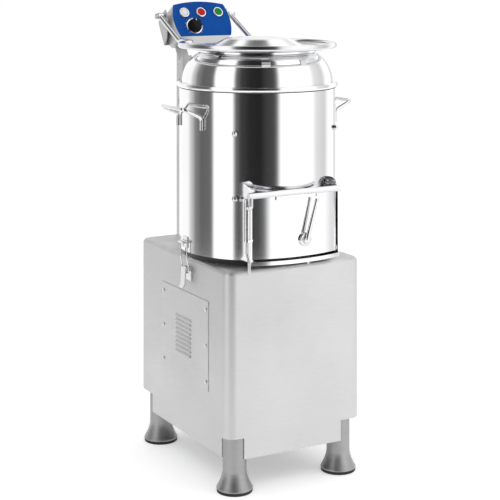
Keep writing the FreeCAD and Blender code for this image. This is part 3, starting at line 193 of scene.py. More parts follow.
def at(x, y, z):
    """Point in metres from a place beside the drum axis in millimetres."""
    return Vector((x + AXIS_X, y + AXIS_Y, z)) * MM


def on_face(u, v, w):
    """Point in metres on the leaning control face."""
    y = BOX_FOOT[0] + v * math.sin(BOX_LEAN) - w * math.cos(BOX_LEAN)
    z = BOX_FOOT[1] + v * math.cos(BOX_LEAN) + w * math.sin(BOX_LEAN)
    return at(u, y, z)


# Mesh builders

def make_piece(name, points, faces, body, material, slot_name, nodes=(), flat_angle=35.0):
    """Mesh piece that rides on a body and may stand for CAD nodes."""
    mesh = bpy.data.meshes.new(name)
    mesh.from_pydata([tuple(p) for p in points], [], faces)
    mesh.validate()
    mesh.update()
    mesh.polygons.foreach_set("use_smooth", [True] * len(mesh.polygons))
    mesh.set_sharp_from_angle(angle=math.radians(flat_angle))
    piece = bpy.data.objects.new(name, mesh)
    bpy.context.scene.collection.objects.link(piece)
    piece.data.materials.append(material)
    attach(piece, body)
    if nodes:
        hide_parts(*nodes)
    return piece


def lathe_mesh(profile, place, count=ROUND, closed=True):
    """Points and faces of a turned profile; place maps (radius, angle, height) to a point."""
    points, faces = [], []
    rows = len(profile)
    for i in range(count):
        angle = 2 * math.pi * i / count
        points += [place(r, angle, h) for r, h in profile]
    spans = rows if closed else rows - 1
    for i in range(count):
        j = (i + 1) % count
        for k in range(spans):
            m = (k + 1) % rows
            faces.append((i * rows + k, j * rows + k, j * rows + m, i * rows + m))
    return points, faces


def upright(cx=0.0, cy=0.0):
    """Placement of turned pieces about a vertical axis."""
    def place(r, angle, h):
        return at(cx + r * math.cos(angle), cy + r * math.sin(angle), h)
    return place


def facing(u, v):
    """Placement of turned pieces about an axis square to the control face."""
    def place(r, angle, h):
        return on_face(u + r * math.cos(angle), v + r * math.sin(angle), h)
    return place


def arc_points(cx, cy, radius, start, end, steps):
    """Points of an arc in a plane, angles in degrees."""
    out = []
    for i in range(steps + 1):
        a = math.radians(start + (end - start) * i / steps)
        out.append((cx + radius * math.cos(a), cy + radius * math.sin(a)))
    return out


def solid_profile(profile, low=0.0001):
    """Profile kept just off the axis so that its ends close to a point."""
    return [(max(r, low), h) for r, h in profile]


def rounded_path(corners, radius, steps=8):
    """Corners in millimetres joined by arcs of one bend radius."""
    points = [Vector(corners[0])]
    for a, b, c in zip(corners, corners[1:], corners[2:]):
        a, b, c = Vector(a), Vector(b), Vector(c)
        u, v = (a - b).normalized(), (c - b).normalized()
        half = u.angle(v) / 2
        cut = min(radius / math.tan(half), (a - b).length * 0.48, (c - b).length * 0.48)
        r = cut * math.tan(half)
        centre = b + (u + v).normalized() * (r / math.sin(half))
        start, end = b + u * cut - centre, b + v * cut - centre
        for i in range(steps + 1):
            points.append(centre + start.normalized().slerp(end.normalized(), i / steps) * r)
    points.append(Vector(corners[-1]))
    return points


def sweep(path, radius, sides):
    """Round bar along points in millimetres, ends capped."""
    count = len(path)
    tangents = []
    for i in range(count):
        before, after = path[max(i - 1, 0)], path[min(i + 1, count - 1)]
        tangents.append((after - before).normalized())
    normal = tangents[0].orthogonal().normalized()
    points = []
    for i in range(count):
        normal = (normal - tangents[i] * normal.dot(tangents[i])).normalized()
        side = tangents[i].cross(normal)
        for k in range(sides):
            a = 2 * math.pi * k / sides
            p = path[i] + (normal * math.cos(a) + side * math.sin(a)) * radius
            points.append(at(*p))
    return points, bar_faces(count, sides)


def bar_faces(count, sides):
    """Faces of a bar given as rings of points, with both ends capped."""
    faces = []
    for i in range(count - 1):
        j = i + 1
        for k in range(sides):
            m = (k + 1) % sides
            faces.append((i * sides + k, i * sides + m, j * sides + m, j * sides + k))
    faces.append(tuple(reversed(range(sides))))
    faces.append(tuple(range((count - 1) * sides, count * sides)))
    return faces


def merged(parts):
    """Several (points, faces) lists as one."""
    points, faces = [], []
    for more_points, more_faces in parts:
        start = len(points)
        points += more_points
        faces += [tuple(v + start for v in f) for f in more_faces]
    return points, faces


def rounded_rectangle(x0, x1, y0, y1, radius, z, steps=10):
    """Loop of points of a rounded rectangle at one height."""
    loop = []
    for cx, cy, start in ((x1 - radius, y1 - radius, 0), (x0 + radius, y1 - radius, 90),
                          (x0 + radius, y0 + radius, 180), (x1 - radius, y0 + radius, 270)):
        loop += [at(px, py, z) for px, py in arc_points(cx, cy, radius, start, start + 90, steps)]
    return loop


# Materials

def new_material(name):
    """Node material with its nodes, links and shader."""
    material = bpy.data.materials.new(name)
    material.use_nodes = True
    nodes = material.node_tree.nodes
    return material, nodes, material.node_tree.links, nodes["Principled BSDF"]


def noise(nodes, links, scale, stretch, detail=4.0):
    """Noise whose grain can be drawn out along one axis."""
    coordinate = nodes.new("ShaderNodeTexCoord")
    mapping = nodes.new("ShaderNodeMapping")
    mapping.inputs["Scale"].default_value = stretch
    texture = nodes.new("ShaderNodeTexNoise")
    texture.inputs["Scale"].default_value = scale
    texture.inputs["Detail"].default_value = detail
    links.new(coordinate.outputs["Object"], mapping.inputs["Vector"])
    links.new(mapping.outputs["Vector"], texture.inputs["Vector"])
    return texture.outputs["Fac"]


def ramp(nodes, links, source, low, high, start=0.3, end=0.7):
    """Colour ramp between two colours or grey values."""
    node = nodes.new("ShaderNodeValToRGB")
    first, last = node.color_ramp.elements
    first.position, last.position = start, end
    first.color = low if isinstance(low, tuple) else (low, low, low, 1)
    last.color = high if isinstance(high, tuple) else (high, high, high, 1)
    links.new(source, node.inputs["Fac"])
    return node.outputs["Color"]


def maths(nodes, links, operation, source, other):
    """Maths node between one output and a number or another output."""
    node = nodes.new("ShaderNodeMath")
    node.operation = operation
    links.new(source, node.inputs[0])
    if isinstance(other, float):
        node.inputs[1].default_value = other
    else:
        links.new(other, node.inputs[1])
    return node.outputs[0]


def bump(nodes, links, shader, source, strength, distance):
    """Small surface relief from a texture."""
    node = nodes.new("ShaderNodeBump")
    node.inputs["Strength"].default_value = strength
    node.inputs["Distance"].default_value = distance
    links.new(source, node.inputs["Height"])
    links.new(node.outputs["Normal"], shader.inputs["Normal"])


def metal(name, tone, rough, grain, spread=0.05, relief=0.03):
    """Steel with drawn-out grain, cloudy handling marks and a varied roughness."""
    material, nodes, links, shader = new_material(name)
    shader.inputs["Metallic"].default_value = 1.0
    fine = noise(nodes, links, 60.0, grain, 3.0)
    cloud = noise(nodes, links, 5.0, (1, 1, 1), 3.0)
    low = tuple(c * (1 - spread) for c in tone) + (1,)
    high = tuple(min(1.0, c * (1 + spread * 0.4)) for c in tone) + (1,)
    links.new(ramp(nodes, links, cloud, low, high), shader.inputs["Base Color"])
    mixed = maths(nodes, links, "MULTIPLY", maths(nodes, links, "ADD", fine, cloud), 0.5)
    links.new(ramp(nodes, links, mixed, rough * 0.75, rough * 1.3), shader.inputs["Roughness"])
    bump(nodes, links, shader, fine, relief, 0.0004)
    return material


def plastic(name, colour, rough, relief=0.05, coat=0.0, specular=0.5):
    """Moulded plastic or rubber with a fine texture and slight colour drift."""
    material, nodes, links, shader = new_material(name)
    shader.inputs["Coat Weight"].default_value = coat
    shader.inputs["Coat Roughness"].default_value = 0.08
    shader.inputs["Specular IOR Level"].default_value = specular
    cloud = noise(nodes, links, 14.0, (1, 1, 1), 3.0)
    low = tuple(c * 0.86 for c in colour) + (1,)
    high = tuple(min(1.0, c * 1.12) for c in colour) + (1,)
    links.new(ramp(nodes, links, cloud, low, high), shader.inputs["Base Color"])
    links.new(ramp(nodes, links, cloud, rough * 0.85, rough * 1.15), shader.inputs["Roughness"])
    bump(nodes, links, shader, noise(nodes, links, 900.0, (1, 1, 1), 2.0), relief, 0.0003)
    return material


def abrasive_finish():
    """Coarse bonded grit with pale and dark grains."""
    material, nodes, links, shader = new_material("abrasive_grit")
    grain = noise(nodes, links, 420.0, (1, 1, 1), 6.0)
    links.new(ramp(nodes, links, grain, (0.10, 0.09, 0.08, 1), (0.46, 0.44, 0.40, 1), 0.38, 0.62),
              shader.inputs["Base Color"])
    shader.inputs["Roughness"].default_value = 0.92
    bump(nodes, links, shader, grain, 0.8, 0.0012)
    return material


STEEL_PALE = (0.67, 0.67, 0.67)
STEEL_BRIGHT = (0.86, 0.86, 0.87)
FINISH = {
    "cabinet_steel": metal("satin_steel", STEEL_PALE, 0.52, (0.6, 0.6, 14.0), 0.03, 0.05),
    "polished_steel": metal("mirror_steel", STEEL_BRIGHT, 0.085, (0.4, 0.4, 9.0), 0.03, 0.008),
    "rod_steel": metal("rod_steel", (0.74, 0.74, 0.75), 0.17, (3.0, 3.0, 3.0), 0.08, 0.02),
    "cast_grey": metal("cast_aluminium", (0.55, 0.56, 0.58), 0.5, (2.0, 2.0, 2.0), 0.15, 0.3),
    "shaft_steel": metal("turned_steel", (0.55, 0.55, 0.56), 0.25, (0.5, 0.5, 20.0), 0.08, 0.05),
    "pulley_iron": metal("machined_iron", (0.28, 0.28, 0.30), 0.45, (2.0, 2.0, 8.0), 0.2, 0.2),
    "motor_paint": plastic("motor_enamel", (0.10, 0.13, 0.18), 0.4, 0.15, 0.2),
    "rubber_black": plastic("foot_rubber", (0.018, 0.018, 0.019), 0.62, 0.15),
    "belt_rubber": plastic("belt_rubber", (0.03, 0.03, 0.03), 0.75, 0.3),
    "gasket_white": plastic("silicone", (0.70, 0.70, 0.68), 0.5, 0.05),
    "abrasive": abrasive_finish(),
    "face_blue": plastic("blue_face_film", (0.002, 0.075, 0.36), 0.45, 0.03, 0.0, 0.08),
    "button_red": plastic("red_cap", (0.60, 0.012, 0.004), 0.35, 0.02, 0.0, 0.15),
    "button_green": plastic("green_cap", (0.004, 0.25, 0.035), 0.35, 0.02, 0.0, 0.15),
    "lamp_white": plastic("lamp_lens", (0.90, 0.93, 0.95), 0.2, 0.02, 0.6),
    "knob_black": plastic("knob_black", (0.006, 0.006, 0.007), 0.45, 0.08, 0.0, 0.15),
    "plastic_black": plastic("black_moulding", (0.02, 0.02, 0.02), 0.5, 0.1),
}
LID_STEEL = metal("lid_steel", STEEL_BRIGHT, 0.20, (0.4, 0.4, 0.4), 0.04, 0.01)
LEG_STEEL = metal("leg_steel", (0.40, 0.40, 0.40), 0.45, (0.5, 0.5, 8.0), 0.03, 0.01)
WHITE_PRINT = plastic("white_print", (0.85, 0.87, 0.9), 0.4, 0.01)
# Dark colour painted on as the shade under the drum's rolled bead
BEAD_SHADE_PAINT = plastic("painted_bead_shade", (0.06, 0.06, 0.06), 0.7, 0.01)


def dress_nodes():
    """Give every CAD node the finish of its slot."""
    for part in frame["record"]["subparts"]:
        data = frame["nodes"][part["node"]].data
        data.materials.clear()
        data.materials.append(FINISH[part["material_slot"]])


# Drum, dome and lid

def drum_skin():
    """Drum wall with its rolled bead, floor and open discharge port."""
    port_left = math.degrees(math.asin(PORT[0] / DRUM_R))
    port_right = math.degrees(math.asin(PORT[1] / DRUM_R))
    angles = [-90 + port_left + (port_right - port_left) * i / PORT_STEPS for i in range(PORT_STEPS + 1)]
    rest = 360 - (port_right - port_left)
    angles += [-90 + port_right + rest * i / REST_STEPS for i in range(1, REST_STEPS)]
    bead = arc_points(BEAD_R - BEAD_H / 2, DRUM_TOP + BEAD_H / 2, BEAD_H / 2, -90, 90, 12)
    inner = DRUM_R - SHEET
    base = DRUM_LOW.z
    profile = [(DRUM_R, base), (DRUM_R, PORT[2]), (DRUM_R, PORT[3]), (DRUM_R, DRUM_TOP)] + bead
    profile += [(DOME_R + DOME_FIT, DRUM_TOP + BEAD_H), (DOME_R + DOME_FIT, DRUM_TOP + LEDGE_H),
                (LEDGE_R, DRUM_TOP + LEDGE_H), (LEDGE_R, DRUM_TOP), (inner, DRUM_TOP), (inner, PORT[3]),
                (inner, PORT[2]), (inner, base + DRUM_FLOOR), (SHAFT_HOLE_R, base + DRUM_FLOOR),
                (SHAFT_HOLE_R, base)]
    rows = len(profile)
    outside_cut, inside_cut = 1, profile.index((inner, PORT[3]))
    points, faces = [], []
    for angle in angles:
        a = math.radians(angle)
        points += [at(r * math.cos(a), r * math.sin(a), z) for r, z in profile]
    for i in range(len(angles)):
        j = (i + 1) % len(angles)
        for k in range(rows):
            if i < PORT_STEPS and k in (outside_cut, inside_cut):
                continue
            m = (k + 1) % rows
            faces.append((i * rows + k, j * rows + k, j * rows + m, i * rows + m))
    for i in range(PORT_STEPS):
        j = i + 1
        faces.append((i * rows + 1, j * rows + 1, j * rows + inside_cut + 1, i * rows + inside_cut + 1))
        faces.append((i * rows + inside_cut, j * rows + inside_cut, j * rows + 2, i * rows + 2))
    for i in (0, PORT_STEPS):
        side = (i * rows + 1, i * rows + 2, i * rows + inside_cut, i * rows + inside_cut + 1)
        faces.append(side if i == 0 else side[::-1])
    make_piece("drum_skin", points, faces, "frame", FINISH["polished_steel"], "polished_steel",
               ["drum_shell"], 40)


def dome_skin():
    """Rounded shoulder and neck in one turned sheet, and a thin dark ring of painted shade under the drum's
    bead.
    """
    foot = DOME_LOW.z + DOME_RISE
    centre = DOME_R - DOME_ARC_R
    inside = NECK_R - SHEET
    cut = math.degrees(math.acos((NECK_R - centre) / DOME_ARC_R))
    inner_cut = math.degrees(math.acos((inside - centre) / (DOME_ARC_R - SHEET)))
    outer = [(DOME_R, DOME_LOW.z)] + arc_points(centre, foot, DOME_ARC_R, 0, cut, 24)
    inner = arc_points(centre, foot, DOME_ARC_R - SHEET, inner_cut, 0, 24) + [(DOME_R - SHEET, DOME_LOW.z)]
    top = DOME_HIGH.z
    rim = NECK_RIM_R
    neck = [(rim - 0.6, top - 2.3), (rim, top - 1.7), (rim, top - 0.6), (rim - 0.6, top),
            (NECK_LIP_R, top), (NECK_LIP_R, top - SHEET), (inside, top - SHEET)]
    points, faces = lathe_mesh(outer + neck + inner, upright())
    make_piece("dome_skin", points, faces, "frame", FINISH["polished_steel"], "polished_steel",
               ["dome_cover"], 40)
    # Painted shade: a thin dark ring just under the bead stands for the shadow the rolled bead casts on the
    # drum wall
    bead_shade_profile = [(DRUM_R - 0.5, DRUM_TOP - 2.2), (DRUM_R + 0.5, DRUM_TOP - 2.0), (DRUM_R + 0.7, DRUM_TOP + 0.4),
            (DRUM_R - 0.5, DRUM_TOP + 0.4)]
    make_piece("bead_shade_ring", *lathe_mesh(bead_shade_profile, upright()), "frame", BEAD_SHADE_PAINT, "polished_steel")


def lid_skin():
    """Lid with a flat rim, a raised middle with soft shoulders and a seat over the gasket."""
    low, crown = LID_LOW.z, LID_HIGH.z
    top = low + LID_RIM_H
    crown_r, foot_r = LID_CROWN
    outer = [(0, crown), (crown_r * CROWN_FLAT, crown)]
    outer += [(crown_r * (CROWN_FLAT + 0.06 * i), crown - CROWN_SAG * (i / 8) ** 2) for i in range(1, 9)]
    outer += [(crown_r - 1.5, crown - 4.3), (crown_r + 2, crown - 6.1), (crown_r + 8, crown - 9.0),
              (foot_r - 8, top + 3.9), (foot_r - 3, top + 1.7), (foot_r + 1, top + 0.5), (foot_r + 6, top)]
    rim = arc_points(LID_R - LID_EDGE_R, top - LID_EDGE_R, LID_EDGE_R, 90, 0, 6)
    rim += [(LID_R, low), (NECK_LIP_R, low)]
    seat = [(NECK_LIP_R, low + SHEET), (LID_R - SHEET, low + SHEET), (LID_R - SHEET, top - SHEET)]
    inner = [(foot_r - 1.5, top - SHEET), (crown_r - 1, crown - 7), (crown_r * 0.75, crown - 4),
             (crown_r * CROWN_FLAT, crown - SHEET), (0, crown - SHEET)]
    points, faces = lathe_mesh(solid_profile(outer + rim + seat + inner), upright())
    make_piece("lid_skin", points, faces, "lid", LID_STEEL, "polished_steel", ["lid_disc"], 30)


def hoop_tube():
    """Tubular hoop with its two hinge arms and eyes."""
    root_y = math.sqrt(HOOP_R ** 2 - ARM_X ** 2)
    start = math.degrees(math.asin(root_y / HOOP_R))
    ring = [Vector((x, y, HOOP_Z)) for x, y in arc_points(0, 0, HOOP_R, start, -180 - start, 150)]
    arms = []
    for side in (1, -1):
        x = side * ARM_X
        arms.append([Vector((x, root_y, HOOP_Z)), Vector((x, ARM_BEND_Y, HOOP_Z)), Vector((x, *PIVOT))])
    path = rounded_path(arms[0][::-1], HOOP_BEND_R) + ring[1:-1] + rounded_path(arms[1], HOOP_BEND_R)
    parts = [sweep(path, HOOP_TUBE_R, 32)]
    bevel = EYE_HALF - 1
    eye = [(EYE_BORE_R, -EYE_HALF), (EYE_R - 1, -EYE_HALF), (EYE_R, -bevel), (EYE_R, bevel),
           (EYE_R - 1, EYE_HALF), (EYE_BORE_R, EYE_HALF)]
    for side in (1, -1):
        def place(r, angle, h, x=side * ARM_X):
            return at(x + h, PIVOT[0] + r * math.cos(angle), PIVOT[1] + r * math.sin(angle))
        parts.append(lathe_mesh(eye, place, ROUND_SMALL))
    make_piece("hoop_tube", *merged(parts), "lid", FINISH["rod_steel"], "rod_steel", ["lid_hoop"], 40)


# Cabinet, legs and handles

def cabinet_skin():
    """Folded cabinet sheet with soft edges and the inner face of its walls."""
    x0, x1 = CAB_LOW.x, CAB_HIGH.x
    y0, y1 = CAB_LOW.y - AXIS_Y, CAB_HIGH.y - AXIS_Y
    z0, z1 = CAB_LOW.z, CAB_HIGH.z

    def shell(inset, reverse):
        rows = [(inset, z0), (inset, z1 - CAB_TOP_R)]
        for i in range(1, CAB_TOP_STEPS + 1):
            a = math.radians(90 * i / CAB_TOP_STEPS)
            r = CAB_TOP_R - inset
            rows.append((inset + r * (1 - math.cos(a)), z1 - CAB_TOP_R + r * math.sin(a)))
        made = [rounded_rectangle(x0 + d, x1 - d, y0 + d, y1 - d, CAB_CORNER_R - d, z) for d, z in rows]
        return made[::-1] if reverse else made
    loops = shell(SHEET, True) + shell(0.0, False)
    size = len(loops[0])
    points = [p for loop in loops for p in loop]
    faces = [tuple(range(size))]
    for i in range(len(loops) - 1):
        for k in range(size):
            m = (k + 1) % size
            faces.append((i * size + k, (i + 1) * size + k, (i + 1) * size + m, i * size + m)[::-1])
    last = (len(loops) - 1) * size
    faces.append(tuple(range(last, last + size)))
    make_piece("cabinet_skin", points, faces, "frame", FINISH["cabinet_steel"], "cabinet_steel",
               ["cabinet_shell"], 40)


def leg_skins():
    """Turned legs that flare to their round feet, and the pads under them."""
    r = LEG_FLARE_R - PAD_INSET
    x = (PADS_HIGH.x - PADS_LOW.x) / 2 - r
    front = PADS_LOW.y - AXIS_Y + r
    rear = PADS_HIGH.y - AXIS_Y - r
    pad = PADS_HIGH.z
    top = SKIRT_TOP - LEG_TOP_GAP
    profile = [(0, pad), (LEG_FLARE_R - 0.8, pad), (LEG_FLARE_R, pad + 0.8)]
    for i in range(FLARE_STEPS + 1):
        share = i / FLARE_STEPS
        swell = (LEG_FLARE_R - LEG_R) * (1 - share) ** FLARE_POWER
        profile.append((LEG_R + swell, pad + FLARE_FOOT + LEG_FLARE_H * share))
    profile += [(LEG_R, top), (0, top)]
    edge = [(0, 0), (r - PAD_EDGE_R, 0)] + arc_points(r - PAD_EDGE_R, PAD_EDGE_R, PAD_EDGE_R, -90, 0, 4)
    edge += arc_points(r - PAD_EDGE_R, pad - PAD_EDGE_R, PAD_EDGE_R, 0, 90, 4) + [(0, pad)]
    pads = []
    places = [(-x, front), (x, front), (-x, rear), (x, rear)]
    for number, (cx, cy) in enumerate(places, 1):
        points, faces = lathe_mesh(solid_profile(profile), upright(cx, cy), ROUND_MID)
        make_piece("leg_skin_%d" % number, points, faces, "frame", LEG_STEEL, "rod_steel",
                   ["leg_%d" % number], 40)
        pads.append(lathe_mesh(solid_profile(edge), upright(cx, cy), ROUND_MID))
    make_piece("foot_pad_rings", *merged(pads), "frame", FINISH["rubber_black"], "rubber_black",
               ["foot_pads"], 40)


def side_handles():
    """Bent rod handles, their legs standing off the drum by the weld gap."""
    leg_x = math.sqrt((DRUM_R + GRIP_ROD_R + WELD_GAP) ** 2 - GRIP_HALF ** 2)
    for name, side in (("handle_left", -1), ("handle_right", 1)):
        corners = []
        for end in (-1, 1):
            y = end * GRIP_HALF
            run = [(side * leg_x, y, GRIP_LEG[0]), (side * leg_x, y, GRIP_LEG[1]), (side * GRIP_X, y, GRIP_Z)]
            corners += run if end < 0 else run[::-1]
        points, faces = sweep(rounded_path(corners, GRIP_BEND_R), GRIP_ROD_R, 24)
        make_piece(name + "_rod", points, faces, "frame", FINISH["rod_steel"], "rod_steel", [name], 60)


# Door and its fittings

def arc_y(x, radius):
    """Depth of the flat arc of chute and door at one place across it."""
    return ARC[1] - math.sqrt(radius ** 2 - (x - ARC[0]) ** 2)


def door_leaf():
    """Curved door leaf, a sheet of one thickness bent to the flat arc of the chute."""
    low, high = node_box("door_plate")
    x0, x1 = low.x, high.x
    heights = [low.z, low.z + LEAF_EDGE, high.z - LEAF_EDGE, high.z]
    points, faces = [], []
    for radius in (LEAF_R - LEAF_SHEET, LEAF_R):
        for i in range(LEAF_COLUMNS + 1):
            x = x0 + (x1 - x0) * i / LEAF_COLUMNS
            points += [at(x, arc_y(x, radius), z) for z in heights]
    rows = len(heights)
    back = (LEAF_COLUMNS + 1) * rows
    for i in range(LEAF_COLUMNS):
        for k in range(rows - 1):
            a, b = i * rows + k, (i + 1) * rows + k
            faces.append((a, a + 1, b + 1, b))
            faces.append((back + a, back + b, back + b + 1, back + a + 1))
        for k, flip in ((0, False), (rows - 1, True)):
            a, b = i * rows + k, (i + 1) * rows + k
            face = (a, b, back + b, back + a)
            faces.append(face[::-1] if flip else face)
    for i, flip in ((0, True), (LEAF_COLUMNS, False)):
        for k in range(rows - 1):
            a = i * rows + k
            face = (a, a + 1, back + a + 1, back + a)
            faces.append(face[::-1] if flip else face)
    make_piece("door_leaf", points, faces, "door", FINISH["polished_steel"], "polished_steel",
               ["door_plate"], 30)


def door_bar():
    """Top bar, hinge tube and lugs of the door."""
    hx, hy = HINGE
    z0, z1, r = HINGE_TUBE
    right = node_box("door_frame")[1].x
    elbow_z = z1 - ELBOW_DROP
    elbow = [(hx, hy - r + 2, elbow_z), (hx, BAR_Y, elbow_z), (hx, BAR_Y, BAR_Z)]
    wall = [(HINGE_BORE_R, z0), (r - 0.5, z0), (r, z0 + 0.5), (r, z1 - 0.5), (r - 0.5, z1), (HINGE_BORE_R, z1)]
    parts = [sweep([Vector((hx - BAR_OVERHANG, BAR_Y, BAR_Z)), Vector((right, BAR_Y, BAR_Z))], BAR_R, 40),
             sweep(rounded_path(elbow, ELBOW_BEND_R), ELBOW_R, 24),
             lathe_mesh(wall, upright(hx, hy), ROUND_SMALL)]
    top = node_box("door_plate")[1].z
    for x in LUGS:
        x0, x1 = x - LUG_HALF, x + LUG_HALF
        y = arc_y(x, LEAF_R) - LUG_GAP
        corners = [(x0, y - LUG_SHEET), (x1, y - LUG_SHEET), (x1, y), (x0, y)]
        points = [at(px, py, z) for z in (top - LUG_FOOT, BAR_Z) for px, py in corners]
        parts.append((points, BOX_FACES))
    make_piece("door_bar", *merged(parts), "door", FINISH["rod_steel"], "rod_steel", ["door_frame"], 40)


def door_lever():
    """Round boss on its spindle and slender turning lever with a swelling tip."""
    lx, lz, length, lean = LEVER
    face = ARC[1] - LEAF_R - 0.3

    def place(r, angle, h):
        return at(lx + r * math.cos(angle), face - h, lz + r * math.sin(angle))
    boss = [(0, 0), (BOSS_R, 0)] + arc_points(BOSS_R - 3, 3, 3, 0, 90, 6) + [(9.5, 6.4), (9, 7)]
    boss += arc_points(7, 12, 2, 0, 90, 5) + [(0, 14)]
    along = Vector((math.sin(lean), 0, math.cos(lean)))
    across = Vector((math.cos(lean), 0, -math.sin(lean)))
    points = []
    for i in range(LEVER_STEPS + 1):
        s = i / LEVER_STEPS
        p = Vector((lx, face - LEVER_OUT, lz)) + along * length * s
        w = LEVER_ROOT - LEVER_TAPER * s + LEVER_SWELL * math.exp(-((s - 0.95) / 0.05) ** 2)
        for k in range(LEVER_SIDES):
            a = 2 * math.pi * k / LEVER_SIDES
            points.append(at(*(p + across * w * math.cos(a) + Vector((0, LEVER_THIN * w * math.sin(a), 0)))))
    spindle_r, spindle_in = SPINDLE
    spindle = [(0, -spindle_in), (spindle_r, -spindle_in), (spindle_r, 0), (0, 0)]
    parts = [lathe_mesh(solid_profile(boss), place, 72), (points, bar_faces(LEVER_STEPS + 1, LEVER_SIDES)),
             lathe_mesh(solid_profile(spindle), place, 40)]
    make_piece("door_lever", *merged(parts), "door_handle", FINISH["rod_steel"], "rod_steel",
               ["door_handle"], 40)


# Control face fittings

def control_fittings():
    """Lamp, buttons, their rings, the timer knob and its plain scale."""
    ring_parts = []
    low, high = FACE_PLATE, FACE_PLATE + BEZEL_H
    collar = [(CAP_R + 0.4, low), (BEZEL_R, low), (BEZEL_R, low + 1.5)]
    collar += arc_points(BEZEL_R - 2, low + 2, 2, 0, 90, 6) + [(CAP_R + 0.9, high), (CAP_R + 0.4, high - 0.5)]
    for node, u in KEYS.items():
        body, slot_name, out = CAPS[node]
        ring_parts.append(lathe_mesh(collar, facing(u, KEY_V), ROUND_MID))
        cap_high = FACE_PLATE + out
        cap = [(0, low - CAP_DEPTH), (CAP_R, low - CAP_DEPTH), (CAP_R, cap_high - CAP_EDGE_R)]
        cap += arc_points(CAP_R - CAP_EDGE_R, cap_high - CAP_EDGE_R, CAP_EDGE_R, 0, 90, 5)
        if node == "signal_lamp":
            cap += [(CAP_R * (1 - i / 8), cap_high + LENS_RISE * math.sin(math.pi / 2 * i / 8))
                    for i in range(2, 9)]
        else:
            cap += [(CAP_R * 0.7, cap_high - 0.35), (0, cap_high - 0.6)]
        points, faces = lathe_mesh(solid_profile(cap), facing(u, KEY_V), 72)
        make_piece(node + "_cap", points, faces, body, FINISH[slot_name], slot_name, [node], 40)
    u, v, knob_r, ring_r = KNOB
    dial = [(DIAL_BORE_R, low), (ring_r, low), (ring_r, low + 1.2), (ring_r - 0.8, low + 2),
            (DIAL_BORE_R, low + 2)]
    ring_parts.append(lathe_mesh(dial, facing(u, v), 120))
    make_piece("face_rings", *merged(ring_parts), "frame", FINISH["rod_steel"], "rod_steel",
               ["face_bezels"], 40)
    timer_knob(u, v, knob_r, low + KNOB_LIFT)
    scale_marks(u, v, ring_r)


def timer_knob(u, v, radius, low):
    """Fluted knob on a flat skirt, with a white pointer line."""
    skirt = [(0, low), (radius, low), (radius, low + 3), (radius - 1, low + 4), (radius - 2, low + 4.2),
             (0, low + 4.2)]
    grip = [(radius - 2, low + 4.2), (radius - 3, low + 12), (radius - 4, low + 15), (radius - 6, low + 16),
            (0, low + 16)]

    def fluted(r, angle, h):
        flute = FLUTE_DEPTH * (0.5 + 0.5 * math.cos(FLUTES * angle))
        cut = max(0.001, r - flute * (r > radius - 5))
        return on_face(u + cut * math.cos(angle), v + cut * math.sin(angle), h)
    parts = [lathe_mesh(solid_profile(skirt), facing(u, v), ROUND_MID),
             lathe_mesh(grip, fluted, ROUND_MID, False)]
    make_piece("timer_knob_body", *merged(parts), "timer_knob", FINISH["knob_black"], "knob_black",
               ["timer_knob"], 30)
    start, end = radius - 11, radius - 6.4
    line = [(-POINTER_HALF, start), (POINTER_HALF, start), (POINTER_HALF, end), (-POINTER_HALF, end)]
    marks = [on_face(u + a, v + b, low + h) for h in (15.9, 16.3) for a, b in line]
    make_piece("timer_pointer", marks, BOX_FACES, "timer_knob", WHITE_PRINT, "knob_black")


def scale_marks(u, v, ring_r):
    """Plain tick marks round the timer."""
    parts = []
    for i in range(TICKS):
        a = math.radians(TICK_START - TICK_SWEEP * i / (TICKS - 1))
        length = 3.2 if i % 3 == 0 else 2.0
        across = Vector((-math.sin(a), math.cos(a))) * TICK_HALF
        along = Vector((math.cos(a), math.sin(a)))
        start, end = along * (ring_r + TICK_GAP), along * (ring_r + TICK_GAP + length)
        corners = [start - across, start + across, end + across, end - across]
        points = [on_face(u + c.x, v + c.y, h) for h in (FACE_PLATE - 0.05, FACE_PLATE + 0.12) for c in corners]
        parts.append((points, BOX_FACES))
    make_piece("timer_scale", *merged(parts), "frame", WHITE_PRINT, "face_blue")


# Studio

CAMERA_PLACE = (-1670.2, -2982.6, 1211.3)
CAMERA_TURN = -28.94
CAMERA_LENS = 101.1
CAMERA_SHIFT = -0.5738
SHIFT_SPAN = 0.03
SURROUND_R = 2.5
SURROUND_Z = 0.8
SURROUND_FOOT = -0.02
FLOOR_SIZE = 60
FLOOR_LIFT = 0.36
WORLD_LIGHT = 0.72
FADE_RISE = (58.0, 76.0)
RISES = (0, 4, 8, 12, 18, 24, 30, 36, 42, 48, 54, 60, 66, 72, 78)
BANDS = ((-90, 1.1), (-60, 1.1), (-54, 0.6), (-49, 0.24), (-43, 0.14), (-36, 0.15), (-33.8, 0.22),
         (-31, 1.3), (-18.5, 1.4), (-15, 0.16), (-11, 0.05), (-5, 0.025), (2, 0.02), (6, 0.05), (11, 0.07),
         (13, 0.16), (16.5, 1.2), (24, 1.4), (40, 1.3), (47, 0.85), (55, 0.75), (62, 1.2), (68, 1.4),
         (74, 0.75), (80, 1.0), (90, 1.3))
LAMPS = (("key", (-2.2, -2.6, 3.2), 2.0, 30.0), ("fill", (2.6, -2.0, 2.6), 2.4, 16.0))


def band_value(angle):
    """Brightness of the surround for one facing of an upright wall, in degrees from the camera."""
    for (a, low), (b, high) in zip(BANDS, BANDS[1:]):
        if angle <= b:
            share = (angle - a) / (b - a)
            share = share * share * (3 - 2 * share)
            return low + (high - low) * share
    return BANDS[-1][1]


